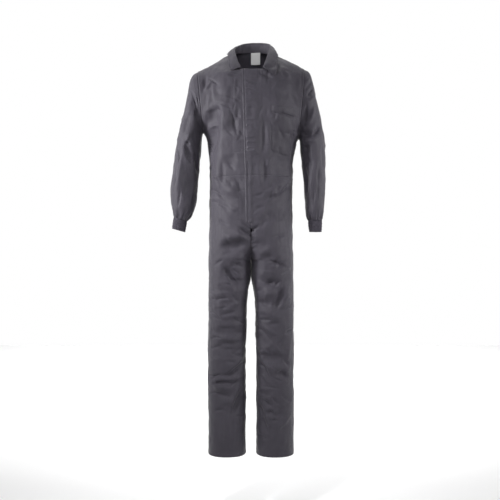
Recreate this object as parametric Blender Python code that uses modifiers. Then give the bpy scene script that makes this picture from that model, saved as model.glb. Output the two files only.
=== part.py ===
"""A boiler suit in its worn shape, hollow, with nobody in it.

Every cut piece is its own solid wall of cloth. Metres, +Z up. The suit faces -Y, so the wearer's left is +X.
The origin is the middle of the neck opening, level with the inner ends of the shoulder seams.
"""

import math

import bmesh
import bpy
import numpy as np
from mathutils import Vector

# Cloth and sewing
WALL = 0.0015  # cloth thickness
SEAM_GAP = 0.0003  # between two pieces along a seam
LAYER_GAP = 0.0006  # between a panel and what is sewn on it
RIDGE_TRIM = 0.0005  # cut back along a seam where two walls meet at an angle
ARMHOLE_TRIM = (0.0021, 0.0007)  # cut back in the armpit and at the shoulder tip
COLLAR_WALL = 0.0020  # two layers of cloth with a stiffener
CUFF_WALL = 0.0024  # elastic knit, doubled
LABEL_WALL = 0.0010

# Heights
WAIST_Z = -0.487
CHEST_Z = -0.318  # of the middle line, on the row that ends in the armpit
RISE_TOP_Z = {"front": -0.660, "back": -0.705}  # below this the middle seam turns in towards the crotch
CROTCH_Z = -0.806
HEM_Z = -1.556

# Armhole: an upright oval from the armpit to the shoulder tip
ARMPIT = {+1: (0.184, -0.336), -1: (0.184, -0.312)}  # wearer's left (+1) and right (-1): x, z
SHOULDER_TIP = {+1: (0.207, -0.066), -1: (0.207, -0.076)}
SHOULDER_SLOPE = {+1: -0.36, -1: -0.56}  # where the shoulder seam leaves the neck
ARMHOLE_REACH = 0.068  # of the oval to the front and to the back
FULLNESS = 0.627  # of a quarter of a section: 0.552 is an ellipse, more is boxier

# Rows and columns of the cloth grids
SIDE_ROWS = 8  # from the waist up to the armpit
ARMHOLE_ROWS = 10  # from the armpit up to the shoulder seam, so a sleeve has twice as many columns
FRONT_NECK_ROW = 6  # the row of those ten that ends at the front of the neck
BACK_NECK_ROW = 7
BODICE_COLUMNS = 9
LEG_COLUMNS = 10
HIP_ROWS = 5  # from the waist down to where the middle seam turns in
RISE_ROWS = 7  # from there down to the crotch
LEG_ROWS = 30  # from the crotch down to the hem
SLEEVE_ROWS = 22
CUFF_ROWS = 3

# The torso above the waist: depth of the middle line in front and behind, half width at the side seams
FRONT_LINE = {
    "z": (-0.487, -0.400, -0.300, -0.200, -0.130, -0.083),
    "depth": (0.116, 0.121, 0.127, 0.122, 0.108, 0.094),
}
BACK_LINE = {
    "z": (-0.487, -0.400, -0.300, -0.200, -0.100, -0.030, 0.018),
    "depth": (0.104, 0.109, 0.122, 0.126, 0.112, 0.087, 0.064),
}
SIDE_LINE = {
    +1: {
        "z": (-0.487, -0.440, -0.401, -0.370, -0.350, -0.336),
        "half_width": (0.160, 0.161, 0.167, 0.173, 0.177, 0.184),
    },
    -1: {
        "z": (-0.487, -0.440, -0.401, -0.362, -0.328, -0.312),
        "half_width": (0.160, 0.1605, 0.1635, 0.168, 0.1755, 0.184),
    },
}
# The way in which a row of the bodice runs into the armhole seam, from the armpit (0) to the shoulder tip (1)
ARMHOLE_RUN = {
    "up": (0.00, 0.20, 0.50, 0.80, 1.00),
    "out": (0.00, 0.55, 0.88, 0.90, 0.885),
    "round": (1.00, 0.80, 0.42, 0.15, 0.00),
    "rise": (0.00, -0.10, -0.22, -0.40, -0.465),
}
# The suit below the waist: distance of the inseam and the side seam from the middle, and the depths
LOWER = {
    "z": (-1.556, -1.350, -1.260, -1.135, -1.010, -0.947, -0.916, -0.885, -0.850, -0.806, -0.720, -0.640, -0.560, -0.487),
    "outer": (0.1650, 0.1660, 0.1665, 0.1665, 0.1660, 0.1655, 0.1650, 0.1645, 0.1640, 0.1638, 0.1625, 0.1605, 0.1600, 0.1600),
    "front": (0.081, 0.080, 0.081, 0.083, 0.088, 0.092, 0.094, 0.096, 0.099, 0.104, 0.116, 0.120, 0.120, 0.116),
    "back": (0.083, 0.083, 0.085, 0.089, 0.095, 0.100, 0.103, 0.107, 0.111, 0.117, 0.123, 0.121, 0.112, 0.104),
}
INSEAM = {
    "z": (-1.556, -1.350, -1.260, -1.135, -1.010, -0.947, -0.916, -0.885, -0.850, -0.806),
    "inner": (0.0215, 0.0212, 0.0210, 0.0197, 0.0175, 0.0137, 0.0098, 0.0048, 0.0022, 0.0012),
}
# The neck seam from the middle of the front round to the middle of the back
NECK = {
    "x": (0.000, 0.040, 0.0625, 0.0725, 0.0735, 0.064, 0.038, 0.000),
    "y": (-0.094, -0.089, -0.066, -0.031, 0.000, 0.034, 0.057, 0.064),
    "z": (-0.083, -0.081, -0.059, -0.024, -0.006, 0.007, 0.015, 0.018),
}
NECK_SIDE = 4  # the place in NECK where the shoulder seam ends
NECK_BACK = 7
# Each sleeve from the armhole to the cuff: the point of a ring nearest the body (under) and farthest (over),
# half the ring's depth, and how far back its middle is
SLEEVE = {
    +1: {
        "along": (0.00, 0.03, 0.06, 0.13, 0.22, 0.32, 0.43, 0.55, 0.68, 0.80, 0.89, 0.95, 1.00),
        "under_x": (0.184, 0.1875, 0.1895, 0.191, 0.193, 0.196, 0.200, 0.204, 0.2070, 0.2105, 0.2125, 0.216, 0.2223),
        "under_z": (-0.336, -0.339, -0.346, -0.364, -0.385, -0.412, -0.448, -0.488, -0.532, -0.582, -0.618, -0.638, -0.654),
        "over_x": (0.207, 0.219, 0.230, 0.243, 0.2535, 0.267, 0.2800, 0.2870, 0.2886, 0.2875, 0.2830, 0.2790, 0.2742),
        "over_z": (-0.066, -0.074, -0.087, -0.130, -0.178, -0.235, -0.298, -0.372, -0.452, -0.540, -0.598, -0.632, -0.652),
        "half_depth": (0.068, 0.068, 0.068, 0.069, 0.070, 0.070, 0.068, 0.066, 0.064, 0.062, 0.056, 0.046, 0.033),
        "back": (0.000, 0.000, 0.000, 0.000, 0.000, -0.001, -0.003, -0.005, -0.008, -0.013, -0.018, -0.021, -0.024),
    },
    -1: {
        "along": (0.00, 0.03, 0.06, 0.13, 0.22, 0.32, 0.43, 0.55, 0.68, 0.80, 0.89, 0.95, 1.00),
        "under_x": (0.184, 0.1875, 0.1895, 0.191, 0.193, 0.196, 0.200, 0.204, 0.2085, 0.2135, 0.2205, 0.232, 0.2477),
        "under_z": (-0.312, -0.315, -0.322, -0.342, -0.366, -0.398, -0.438, -0.484, -0.532, -0.580, -0.612, -0.638, -0.656),
        "over_x": (0.207, 0.219, 0.228, 0.240, 0.2490, 0.261, 0.2770, 0.2920, 0.3030, 0.3110, 0.3080, 0.3030, 0.2980),
        "over_z": (-0.076, -0.084, -0.095, -0.135, -0.180, -0.235, -0.298, -0.372, -0.452, -0.540, -0.592, -0.622, -0.641),
        "half_depth": (0.068, 0.068, 0.068, 0.069, 0.070, 0.070, 0.068, 0.066, 0.064, 0.062, 0.056, 0.046, 0.033),
        "back": (0.000, 0.000, 0.000, 0.000, 0.000, -0.001, -0.003, -0.005, -0.008, -0.013, -0.018, -0.021, -0.024),
    },
}
CUFF = {
    +1: {
        "under_x": (0.2223, 0.2240, 0.2270),
        "under_z": (-0.654, -0.676, -0.697),
        "over_x": (0.2742, 0.2735, 0.2718),
        "over_z": (-0.652, -0.675, -0.697),
        "half_depth": (0.032, 0.033, 0.032),
        "back": (-0.024, -0.025, -0.026),
    },
    -1: {
        "under_x": (0.2477, 0.2512, 0.2558),
        "under_z": (-0.656, -0.677, -0.698),
        "over_x": (0.2980, 0.3012, 0.3034),
        "over_z": (-0.641, -0.663, -0.6845),
        "half_depth": (0.032, 0.033, 0.032),
        "back": (-0.024, -0.025, -0.026),
    },
}
# The collar from its front end round to the middle of the back: its roll, and its free edge
COLLAR = {
    "neck": (1.00, 1.60, 2.35, 3.20, 4.10, 5.00, 6.00, 7.00),
    "roll_y": (-0.0930, -0.0750, -0.0450, -0.0120, 0.0200, 0.0470, 0.0620, 0.0670),
    "edge_y": (-0.0960, -0.0800, -0.0500, -0.0180, 0.0180, 0.0520, 0.0800, 0.0900),
}
COLLAR_EDGE = {
    +1: {
        "front_neck": 1.24,
        "roll_x": (0.0465, 0.0540, 0.0650, 0.0735, 0.0735, 0.0600, 0.0340, 0.0000),
        "roll_z": (-0.0745, -0.0480, -0.0120, 0.0160, 0.0360, 0.0490, 0.0550, 0.0560),
        "x": (0.0853, 0.0940, 0.0985, 0.1050, 0.1030, 0.0840, 0.0500, 0.0000),
        "z": (-0.1080, -0.0760, -0.0400, -0.0120, 0.0000, 0.0070, 0.0060, 0.0050),
    },
    -1: {
        "front_neck": 0.945,
        "roll_x": (0.0385, 0.0500, 0.0590, 0.0630, 0.0595, 0.0480, 0.0280, 0.0000),
        "roll_z": (-0.0745, -0.0480, -0.0120, 0.0150, 0.0280, 0.0400, 0.0510, 0.0560),
        "x": (0.0758, 0.0850, 0.0870, 0.0895, 0.0935, 0.0795, 0.0480, 0.0000),
        "z": (-0.0895, -0.0660, -0.0365, -0.0110, -0.0020, 0.0065, 0.0060, 0.0050),
    },
}
COLLAR_COLUMNS = 13  # from the front end to the middle of the back
ROLL_RADIUS = 0.0028
COLLAR_LIFT = 0.0014  # of the collar above the shoulders, besides its gap

# Flap over the closing, wearer's left over right. Its free edge, and the first two columns of the left front
# under it: it is sewn down on the second above STEP_ROW, and is narrow below
FLAP = {
    "z": (-0.665, -0.620, -0.560, -0.460, -0.440, -0.4236, -0.340, -0.250, -0.165, -0.083),
    "free_x": (0.0195, 0.0215, 0.0230, 0.0240, 0.0245, 0.0250, 0.0275, 0.0305, 0.0330, 0.0352),
    "first_x": (0.0060, 0.0080, 0.0085, 0.0090, 0.0125, 0.0216, 0.0216, 0.0216, 0.0216, 0.0216),
    "second_x": (0.0300, 0.0350, 0.0380, 0.0410, 0.0425, 0.0432, 0.0432, 0.0432, 0.0432, 0.0432),
}
STEP_ROW = 3  # row of the bodice, from the waist up
FLAP_END_ROW = HIP_ROWS  # row of the leg panels, from the waist down
# Patch pocket on the wearer's left chest, on rows and columns of the left front
POCKET_ROWS = (4, 11)
POCKET_COLUMNS = (4, 7)
POCKET = {
    "across": (0.0, 0.5, 1.0),
    "top_x": (0.0770, 0.1240, 0.1660),
    "top_z": (-0.2230, -0.2280, -0.2350),
    "bottom_x": (0.0750, 0.1150, 0.1500),
    "bottom_z": (-0.3960, -0.4060, -0.4140),
}
LABEL_X = (0.0000, 0.0365)
LABEL_Z = (-0.0290, 0.0150)
NECK_ROUND = 4.85  # how fast the back of the neck comes forward, by the square of x

# Folds of the cloth, a soft channel (depth > 0) or a ridge (depth < 0) from start to end, seen from the front
FOLD_COLUMNS = ("x0", "z0", "x1", "z1", "width", "depth")
FRONT_FOLDS = (
    # bodice
    (-0.139, -0.210, -0.162, -0.300, 0.022, 0.010),
    (-0.143, -0.115, -0.110, -0.225, 0.020, 0.004),
    (-0.071, -0.265, -0.066, -0.335, 0.016, 0.004),
    (-0.120, -0.330, -0.105, -0.450, 0.022, -0.005),
    (0.176, -0.130, 0.186, -0.240, 0.014, 0.005),
    (0.060, -0.260, 0.058, -0.400, 0.016, 0.004),
    (0.135, -0.120, 0.120, -0.180, 0.020, -0.004),
    (-0.060, -0.400, -0.090, -0.470, 0.020, 0.003),
    (0.140, -0.400, 0.070, -0.500, 0.024, 0.006),
    # hips and seat
    (-0.152, -0.520, -0.058, -0.612, 0.018, 0.009),
    (-0.130, -0.500, -0.050, -0.575, 0.018, -0.004),
    (0.092, -0.565, 0.022, -0.598, 0.016, 0.006),
    (0.085, -0.622, 0.020, -0.680, 0.016, 0.008),
    (-0.045, -0.680, 0.020, -0.725, 0.014, 0.006),
    (-0.120, -0.752, -0.012, -0.750, 0.022, 0.010),
    (-0.100, -0.720, -0.030, -0.718, 0.020, -0.005),
    (0.010, -0.735, 0.070, -0.755, 0.016, 0.005),
    # wearer's right leg
    (-0.100, -0.826, -0.044, -0.925, 0.020, 0.008),
    (-0.120, -0.960, -0.060, -0.985, 0.014, 0.005),
    (-0.150, -0.975, -0.100, -0.990, 0.014, -0.004),
    (-0.135, -1.064, -0.040, -1.060, 0.014, 0.006),
    (-0.135, -1.092, -0.035, -1.100, 0.014, -0.006),
    (-0.135, -1.118, -0.040, -1.125, 0.012, 0.004),
    (-0.040, -1.200, -0.105, -1.256, 0.016, 0.007),
    (-0.150, -1.268, -0.060, -1.280, 0.012, 0.006),
    (-0.150, -1.296, -0.080, -1.285, 0.012, -0.005),
    (-0.140, -1.312, -0.050, -1.320, 0.012, 0.005),
    (-0.032, -1.315, -0.060, -1.420, 0.016, 0.007),
    (-0.085, -1.380, -0.078, -1.540, 0.020, -0.004),
    # wearer's left leg
    (0.050, -0.896, 0.120, -0.900, 0.018, 0.007),
    (0.028, -0.960, 0.080, -0.975, 0.016, 0.006),
    (0.128, -0.905, 0.092, -1.010, 0.018, 0.006),
    (0.060, -1.000, 0.110, -1.040, 0.016, -0.004),
    (0.022, -1.080, 0.070, -1.140, 0.014, 0.006),
    (0.030, -1.160, 0.060, -1.155, 0.012, -0.005),
    (0.030, -1.185, 0.128, -1.190, 0.014, 0.008),
    (0.035, -1.212, 0.130, -1.228, 0.014, -0.006),
    (0.022, -1.210, 0.080, -1.305, 0.014, 0.008),
    (0.095, -1.255, 0.140, -1.235, 0.016, 0.006),
    (0.040, -1.330, 0.095, -1.330, 0.012, -0.004),
    (0.055, -1.395, 0.090, -1.380, 0.014, 0.006),
    (0.028, -1.400, 0.060, -1.480, 0.014, 0.005),
    (0.110, -1.390, 0.080, -1.520, 0.018, -0.005),
    # sleeves
    (-0.205, -0.185, -0.190, -0.285, 0.016, 0.006),
    (-0.240, -0.155, -0.212, -0.225, 0.014, 0.005),
    (-0.218, -0.300, -0.208, -0.400, 0.018, 0.006),
    (-0.258, -0.345, -0.206, -0.430, 0.016, 0.008),
    (-0.285, -0.420, -0.262, -0.560, 0.018, -0.005),
    (-0.225, -0.480, -0.240, -0.590, 0.016, 0.005),
    (0.238, -0.105, 0.210, -0.155, 0.014, 0.005),
    (0.244, -0.140, 0.215, -0.190, 0.012, 0.005),
    (0.195, -0.318, 0.235, -0.330, 0.014, 0.008),
    (0.235, -0.330, 0.272, -0.295, 0.014, 0.007),
    (0.205, -0.345, 0.222, -0.470, 0.016, 0.007),
    (0.245, -0.400, 0.250, -0.560, 0.020, -0.005),
    (0.275, -0.480, 0.262, -0.600, 0.016, 0.004),
)
BACK_FOLDS = (
    (-0.120, -0.160, -0.155, -0.290, 0.022, 0.008),
    (0.120, -0.160, 0.155, -0.300, 0.022, 0.008),
    (-0.060, -0.390, -0.020, -0.470, 0.020, 0.005),
    (0.070, -0.370, 0.030, -0.480, 0.022, 0.006),
    (-0.110, -0.440, -0.040, -0.500, 0.020, 0.005),
    (0.130, -0.430, 0.060, -0.520, 0.020, 0.005),
    (-0.110, -0.560, -0.030, -0.620, 0.020, 0.005),
    (0.100, -0.550, 0.040, -0.640, 0.020, 0.006),
    (-0.120, -0.800, -0.030, -0.770, 0.020, 0.006),
    (0.120, -0.810, 0.030, -0.775, 0.020, 0.006),
    (-0.130, -0.850, -0.040, -0.830, 0.018, 0.005),
    (0.125, -0.860, 0.035, -0.835, 0.018, 0.005),
    (-0.140, -1.060, -0.050, -1.080, 0.016, 0.006),
    (-0.040, -1.130, -0.130, -1.150, 0.016, 0.007),
    (-0.140, -1.210, -0.060, -1.195, 0.016, 0.006),
    (-0.050, -1.280, -0.120, -1.310, 0.016, 0.005),
    (0.140, -1.050, 0.050, -1.075, 0.016, 0.006),
    (0.040, -1.120, 0.130, -1.150, 0.016, 0.007),
    (0.140, -1.220, 0.060, -1.200, 0.016, 0.006),
    (0.050, -1.290, 0.125, -1.320, 0.016, 0.005),
    (-0.095, -1.350, -0.085, -1.530, 0.020, -0.004),
    (0.095, -1.350, 0.090, -1.530, 0.020, -0.004),
    (-0.215, -0.330, -0.270, -0.360, 0.016, 0.007),
    (-0.210, -0.400, -0.275, -0.410, 0.016, 0.006),
    (0.215, -0.340, 0.260, -0.370, 0.016, 0.007),
    (0.210, -0.410, 0.265, -0.420, 0.016, 0.006),
    (-0.205, -0.180, -0.200, -0.270, 0.016, 0.005),
    (0.205, -0.180, 0.200, -0.280, 0.016, 0.005),
    (-0.260, -0.460, -0.285, -0.590, 0.018, 0.005),
    (0.245, -0.470, 0.262, -0.600, 0.018, 0.005),
)
SLEEVE_GATHERS = 5  # pleats round the end of a sleeve, where the cuff draws it in
GATHER_DEPTH = 0.0025
GATHER_REACH = 0.14  # of the sleeve's length

SLATE = (0.085, 0.083, 0.094)  # twill
SLATE_KNIT = (0.075, 0.073, 0.083)
WHITE = (0.80, 0.80, 0.78)


# ---- curves and surfaces -------------------------------------------------------------------------------------
def smooth(xs, ys, x):
    """A curve through the points of a table that has no bumps between them."""
    xs, ys = np.asarray(xs, float), np.asarray(ys, float)
    step = np.diff(xs)
    slope = np.diff(ys) / step
    lean = np.empty(len(xs))
    lean[0], lean[-1] = slope[0], slope[-1]
    for i in range(1, len(xs) - 1):
        before, after = slope[i - 1], slope[i]
        lean[i] = 0.0 if before * after <= 0 else 2.0 * before * after / (before + after)
    x = np.clip(x, xs[0], xs[-1])
    i = np.clip(np.searchsorted(xs, x, side="right") - 1, 0, len(xs) - 2)
    t = (x - xs[i]) / step[i]
    bend = step[i] * ((t**3 - 2 * t**2 + t) * lean[i] + (t**3 - t**2) * lean[i + 1])
    return (2 * t**3 - 3 * t**2 + 1) * ys[i] + (3 * t**2 - 2 * t**3) * ys[i + 1] + bend


def ease(x):
    x = np.clip(x, 0.0, 1.0)
    return x * x * (3.0 - 2.0 * x)


def stack(*parts):
    return np.stack(np.broadcast_arrays(*parts), axis=-1)


def unit(vectors):
    return vectors / np.maximum(np.linalg.norm(vectors, axis=-1, keepdims=True), 1e-12)


def neck_seam(place):
    """Point of the neck seam, on the wearer's left, at a place between the columns of NECK."""
    places = range(len(NECK["x"]))
    return stack(*(smooth(places, NECK[axis], place) for axis in "xyz"))


def hole_angle(share, side):
    """Angle round the armhole, from -90 degrees in the armpit to +90 at the shoulder tip, by length of seam."""
    angle = np.linspace(-math.pi / 2, math.pi / 2, 181)
    half_height = (SHOULDER_TIP[side][1] - ARMPIT[side][1]) / 2.0
    speed = np.hypot(ARMHOLE_REACH * np.sin(angle), half_height * np.cos(angle))
    length = np.concatenate([[0.0], np.cumsum((speed[1:] + speed[:-1]) / 2.0)])
    return np.interp(share, length / length[-1], angle)


def bodice(u, v, side, face):
    """u: 0 at the middle or the neck seam, 1 at the side. v: 0 at the waist, 1 at the shoulder seam."""
    u, v = np.broadcast_arrays(np.asarray(u, float), np.asarray(v, float))
    front = face == "front"
    toward = -1.0 if front else 1.0
    armpit_v = SIDE_ROWS / (SIDE_ROWS + ARMHOLE_ROWS)
    low = np.clip(v / armpit_v, 0.0, 1.0)
    up = np.clip((v - armpit_v) / (1.0 - armpit_v), 0.0, 1.0)
    corner = (FRONT_NECK_ROW if front else BACK_NECK_ROW) / ARMHOLE_ROWS
    line = FRONT_LINE if front else BACK_LINE

    # the middle line, then the neck seam
    z = WAIST_Z + (CHEST_Z - WAIST_Z) * low + (line["z"][-1] - CHEST_Z) * np.clip(up / corner, 0.0, 1.0)
    middle = stack(0.0, toward * smooth(line["z"], line["depth"], z), z)
    round_neck = np.clip((up - corner) / (1.0 - corner), 0.0, 1.0)
    first = 0 if front else NECK_BACK
    neck = neck_seam(first + (NECK_SIDE - first) * round_neck)
    inner = np.where((up > corner)[..., None], neck, middle)

    # the side seam, then the armhole
    armpit_x, armpit_z = ARMPIT[side]
    z = WAIST_Z + (armpit_z - WAIST_Z) * low
    seam = stack(smooth(SIDE_LINE[side]["z"], SIDE_LINE[side]["half_width"], z), 0.0, z)
    turn = hole_angle(up, side)
    share = (1.0 + np.sin(turn)) / 2.0
    hole = stack(
        armpit_x + (SHOULDER_TIP[side][0] - armpit_x) * share,
        toward * ARMHOLE_REACH * np.cos(turn),
        armpit_z + (SHOULDER_TIP[side][1] - armpit_z) * share,
    )
    outer = np.where((up > 0.0)[..., None], hole, seam)

    # each row leaves the middle level and turns round to the side, or runs down the shoulder
    shoulder = unit(np.array([1.0, 0.0, SHOULDER_SLOPE[side]]))
    leave = unit(np.array([1.0, 0.0, 0.0]) * (1.0 - round_neck)[..., None] + shoulder * round_neck[..., None])
    arrive = unit(
        stack(
            smooth(ARMHOLE_RUN["up"], ARMHOLE_RUN["out"], up),
            -toward * smooth(ARMHOLE_RUN["up"], ARMHOLE_RUN["round"], up),
            smooth(ARMHOLE_RUN["up"], ARMHOLE_RUN["rise"], up),
        )
    )
    chord = outer - inner
    first_handle = inner + leave * FULLNESS * np.abs((chord * leave).sum(-1, keepdims=True))
    last_handle = outer - arrive * FULLNESS * np.abs((chord * arrive).sum(-1, keepdims=True))
    t = u[..., None]
    point = (
        (1 - t) ** 3 * inner
        + 3 * (1 - t) ** 2 * t * first_handle
        + 3 * (1 - t) * t**2 * last_handle
        + t**3 * outer
    )
    return point * np.array([side, 1.0, 1.0])


def quarter(t):
    """A quarter of a section of size 1: across from the middle, and depth left."""
    across = 3 * (1 - t) ** 2 * t * FULLNESS + 3 * (1 - t) * t**2 + t**3
    depth = (1 - t) ** 3 + 3 * (1 - t) ** 2 * t + 3 * (1 - t) * t**2 * FULLNESS
    return across, depth


def rise(z, face):
    """How far the middle seam has turned in: 0 at the top of the rise, 1 at the crotch."""
    drop = np.clip((RISE_TOP_Z[face] - z) / (RISE_TOP_Z[face] - CROTCH_Z), 0.0, 1.0)
    return 1.0 - np.sqrt(1.0 - drop)


def lower(u, v, side, face):
    """u: 0 at the middle seam or the inseam, 1 at the side seam. v: 0 at the waist, 1 at the hem."""
    u, v = np.broadcast_arrays(np.asarray(u, float), np.asarray(v, float))
    rows = HIP_ROWS + RISE_ROWS + LEG_ROWS
    row = v * rows
    hip = np.clip(row / HIP_ROWS, 0.0, 1.0)
    turn = np.clip((row - HIP_ROWS) / RISE_ROWS, 0.0, 1.0)
    leg = np.clip((row - HIP_ROWS - RISE_ROWS) / LEG_ROWS, 0.0, 1.0)
    rise_top = RISE_TOP_Z[face]
    above = WAIST_Z + (rise_top - WAIST_Z) * hip + (HEM_Z - CROTCH_Z) * leg
    at_middle = above + (CROTCH_Z - rise_top) * (1.0 - (1.0 - turn) ** 2)
    at_side = above + (CROTCH_Z - rise_top) * turn
    z = at_middle + (at_side - at_middle) * ease(u * 1.4)
    start = -rise(at_middle, face)
    place = start + (1.0 - start) * u  # -1 at the inseam, 0 at the deepest point, 1 at the side seam
    across, depth = quarter(np.abs(place))
    outer = smooth(LOWER["z"], LOWER["outer"], z)
    cut, _ = quarter(rise(z, face))
    inner = np.where(z > CROTCH_Z, outer * (cut - 1.0) / (1.0 + cut), smooth(INSEAM["z"], INSEAM["inner"], z))
    middle, half = (outer + inner) / 2.0, (outer - inner) / 2.0
    toward = -1.0 if face == "front" else 1.0
    reach = smooth(LOWER["z"], LOWER[face], z)
    return stack(side * (middle + half * np.sign(place) * across), toward * reach * depth, z)


def tube(turn, v, side, table, steps):
    """turn: 0 over the arm, then round the front, the underside and the back. v: 0 to 1 along the arm."""
    under = stack(smooth(steps, table["under_x"], v), 0.0 * v, smooth(steps, table["under_z"], v))
    over = stack(smooth(steps, table["over_x"], v), 0.0 * v, smooth(steps, table["over_z"], v))
    half = smooth(steps, table["half_depth"], v)
    back = smooth(steps, table["back"], v)
    angle = 2.0 * math.pi * turn
    level = stack(0.0 * v, back - half * np.sin(angle), 0.0 * v)
    point = (over + under) / 2.0 + (over - under) / 2.0 * np.cos(angle)[..., None] + level
    return point * np.array([side, 1.0, 1.0])


def sleeve(turn, v, side):
    turn, v = np.broadcast_arrays(np.asarray(turn, float), np.asarray(v, float))
    return tube(turn, v, side, SLEEVE[side], SLEEVE[side]["along"])


def cuff(turn, v, side):
    turn, v = np.broadcast_arrays(np.asarray(turn, float), np.asarray(v, float))
    return tube(turn, v, side, CUFF[side], (0.0, 0.5, 1.0))


def normals(surface, u, v, outward):
    """Unit normals of a surface. outward is +1 or -1, whichever makes them point out of the suit."""
    step = 1e-4
    along_u = surface(u + step, v) - surface(u - step, v)
    along_v = surface(u, v + step) - surface(u, v - step)
    return unit(np.cross(along_u, along_v)) * outward


def fold_depth(point, normal):
    """How deep the folds are at a point of the suit."""
    total = np.zeros(point.shape[:-1])
    facing = ease((np.abs(normal[..., 1]) - 0.12) / 0.45)
    for table, toward in ((FRONT_FOLDS, -1.0), (BACK_FOLDS, 1.0)):
        depth = np.zeros_like(total)
        for row in table:
            fold = dict(zip(FOLD_COLUMNS, row))
            start = np.array([fold["x0"], fold["z0"]])
            run = np.array([fold["x1"], fold["z1"]]) - start
            offset = point[..., [0, 2]] - start
            length = np.linalg.norm(run)
            along = (offset @ run) / length**2
            aside = (offset[..., 0] * run[1] - offset[..., 1] * run[0]) / length
            spread = fold["width"] * (1.0 + 0.35 * along)
            ends = ease(along / 0.35) * ease((1.0 - along) / 0.35)
            near = (aside / spread) ** 2
            depth += fold["depth"] * ends * np.exp(-near) * (1.0 - 0.45 * near)
        total += np.where(normal[..., 1] * toward > 0, depth, 0.0)
    return total * facing


def folded(surface, outward, calm):
    """The surface with its folds in. calm(u, v) is 0 where the cloth is held flat and 1 where it is free."""

    def cloth(u, v):
        point = surface(u, v)
        normal = normals(surface, u, v, outward)
        push = normal * stack(1.0, 1.0, ease((point[..., 2] + 0.16) / 0.08))
        return point - unit(push) * (fold_depth(point, normal) * calm(u, v))[..., None]

    return cloth


def bodice_cloth(side, face):
    def surface(u, v):
        return bodice(u, v, side, face)

    def calm(u, v):
        armpit_v = SIDE_ROWS / (SIDE_ROWS + ARMHOLE_ROWS)
        return 1.0 - ease((v - armpit_v + 0.1) / 0.1) * ease((u - 0.80) / 0.20)

    outward = side if face == "front" else -side
    return folded(surface, outward, calm), outward


def lower_cloth(side, face):
    def surface(u, v):
        return lower(u, v, side, face)

    outward = -side if face == "front" else side
    return folded(surface, outward, lambda u, v: np.ones_like(u + v)), outward


def sleeve_cloth(side):
    def surface(turn, v):
        return sleeve(turn, v, side)

    def calm(turn, v):
        return ease(v / 0.08)

    cloth = folded(surface, side, calm)

    def gathered(turn, v):
        point = cloth(turn, v)
        pleat = np.cos(2.0 * math.pi * SLEEVE_GATHERS * turn + 0.7 * side)
        reach = ease((v - (1.0 - GATHER_REACH)) / GATHER_REACH) * ease((1.02 - v) / 0.04)
        return point - normals(surface, turn, v, side) * (GATHER_DEPTH * pleat * reach)[..., None]

    return gathered, side


def find(surface, x, z, u, v):
    """The u and v of a front surface at which it has the given x and z, searched from a first guess."""
    for _ in range(40):
        here = surface(u, v)
        by_u = (surface(u + 1e-4, v) - here) / 1e-4
        by_v = (surface(u, v + 1e-4) - here) / 1e-4
        miss_x, miss_z = x - here[..., 0], z - here[..., 2]
        area = by_u[..., 0] * by_v[..., 2] - by_u[..., 2] * by_v[..., 0]
        u = np.clip(u + 0.7 * (miss_x * by_v[..., 2] - miss_z * by_v[..., 0]) / area, 0.0, 0.999)
        v = np.clip(v + 0.7 * (by_u[..., 0] * miss_z - by_u[..., 2] * miss_x) / area, 0.0, 0.999)
    return u, v


def fixed_columns(u, v, surface, rows, side):
    """Moves the first columns of a front panel to the edges of the flap."""
    fine = np.linspace(0.0, 1.0, 201)
    names = ("first_x", "second_x") if side > 0 else ("free_x",)
    for row in rows:
        line = surface(fine, v[row, 0] + 0.0 * fine)
        z = line[0, 2]
        edges = [np.interp(z, FLAP["z"], FLAP[name]) for name in names]
        across = np.maximum.accumulate(np.abs(line[:, 0]))
        for place, edge in enumerate(edges, start=1):
            u[row, place] = np.interp(edge, across, fine)
        left = u.shape[1] - 1 - len(edges)
        for place in range(1, left + 1):
            u[row, len(edges) + place] = u[row, len(edges)] + (1.0 - u[row, len(edges)]) * place / left


# ---- making the solids -----------------------------------------------------------------------------------------
def material(name, colour, roughness):
    made = bpy.data.materials.new(name)
    made.use_nodes = True
    shader = made.node_tree.nodes["Principled BSDF"]
    shader.inputs["Base Color"].default_value = (*colour, 1.0)
    shader.inputs["Roughness"].default_value = roughness
    shader.inputs["Metallic"].default_value = 0.0
    return made


def wall(collection, name, grids, thickness, colour, outward, closed=False, roughness=0.85):
    """A wall of cloth on one or more grids of points. Grids of one piece share their common edge."""
    mesh = bmesh.new()
    for points in grids:
        rows, columns = points.shape[:2]
        verts = [[mesh.verts.new(points[i, j]) for j in range(columns)] for i in range(rows)]
        for i in range(rows - 1):
            for j in range(columns if closed else columns - 1):
                k = (j + 1) % columns
                mesh.faces.new((verts[i][j], verts[i][k], verts[i + 1][k], verts[i + 1][j]))
    bmesh.ops.remove_doubles(mesh, verts=mesh.verts, dist=1e-6)
    bmesh.ops.recalc_face_normals(mesh, faces=mesh.faces)
    mesh.faces.ensure_lookup_table()
    probe = mesh.faces[len(mesh.faces) // 2]
    if probe.normal.dot(outward(probe.calc_center_median())) < 0:
        bmesh.ops.reverse_faces(mesh, faces=mesh.faces)
    data = bpy.data.meshes.new(name)
    mesh.to_mesh(data)
    mesh.free()
    data.shade_smooth()
    made = bpy.data.objects.new(name, data)
    collection.objects.link(made)
    data.materials.append(material(name, colour, roughness))
    thicken = made.modifiers.new("wall", "SOLIDIFY")
    thicken.thickness = thickness
    thicken.offset = 0.0
    thicken.use_even_offset = True
    thicken.use_rim = True
    return made


def clear_of_middle(points, normal, side):
    """Moves the edge along the middle seam so that the wall stays half a seam gap from the middle plane."""
    room = SEAM_GAP / 2.0 + WALL / 2.0 * np.abs(normal[:, 0])
    points[:, 0] = side * np.maximum(side * points[:, 0], room)


def out_from(centre_x, centre_y):
    """The way out of the suit at a place, from an upright line through its hollow."""
    return lambda at: Vector((at.x - centre_x, at.y - centre_y, 0.0))


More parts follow.
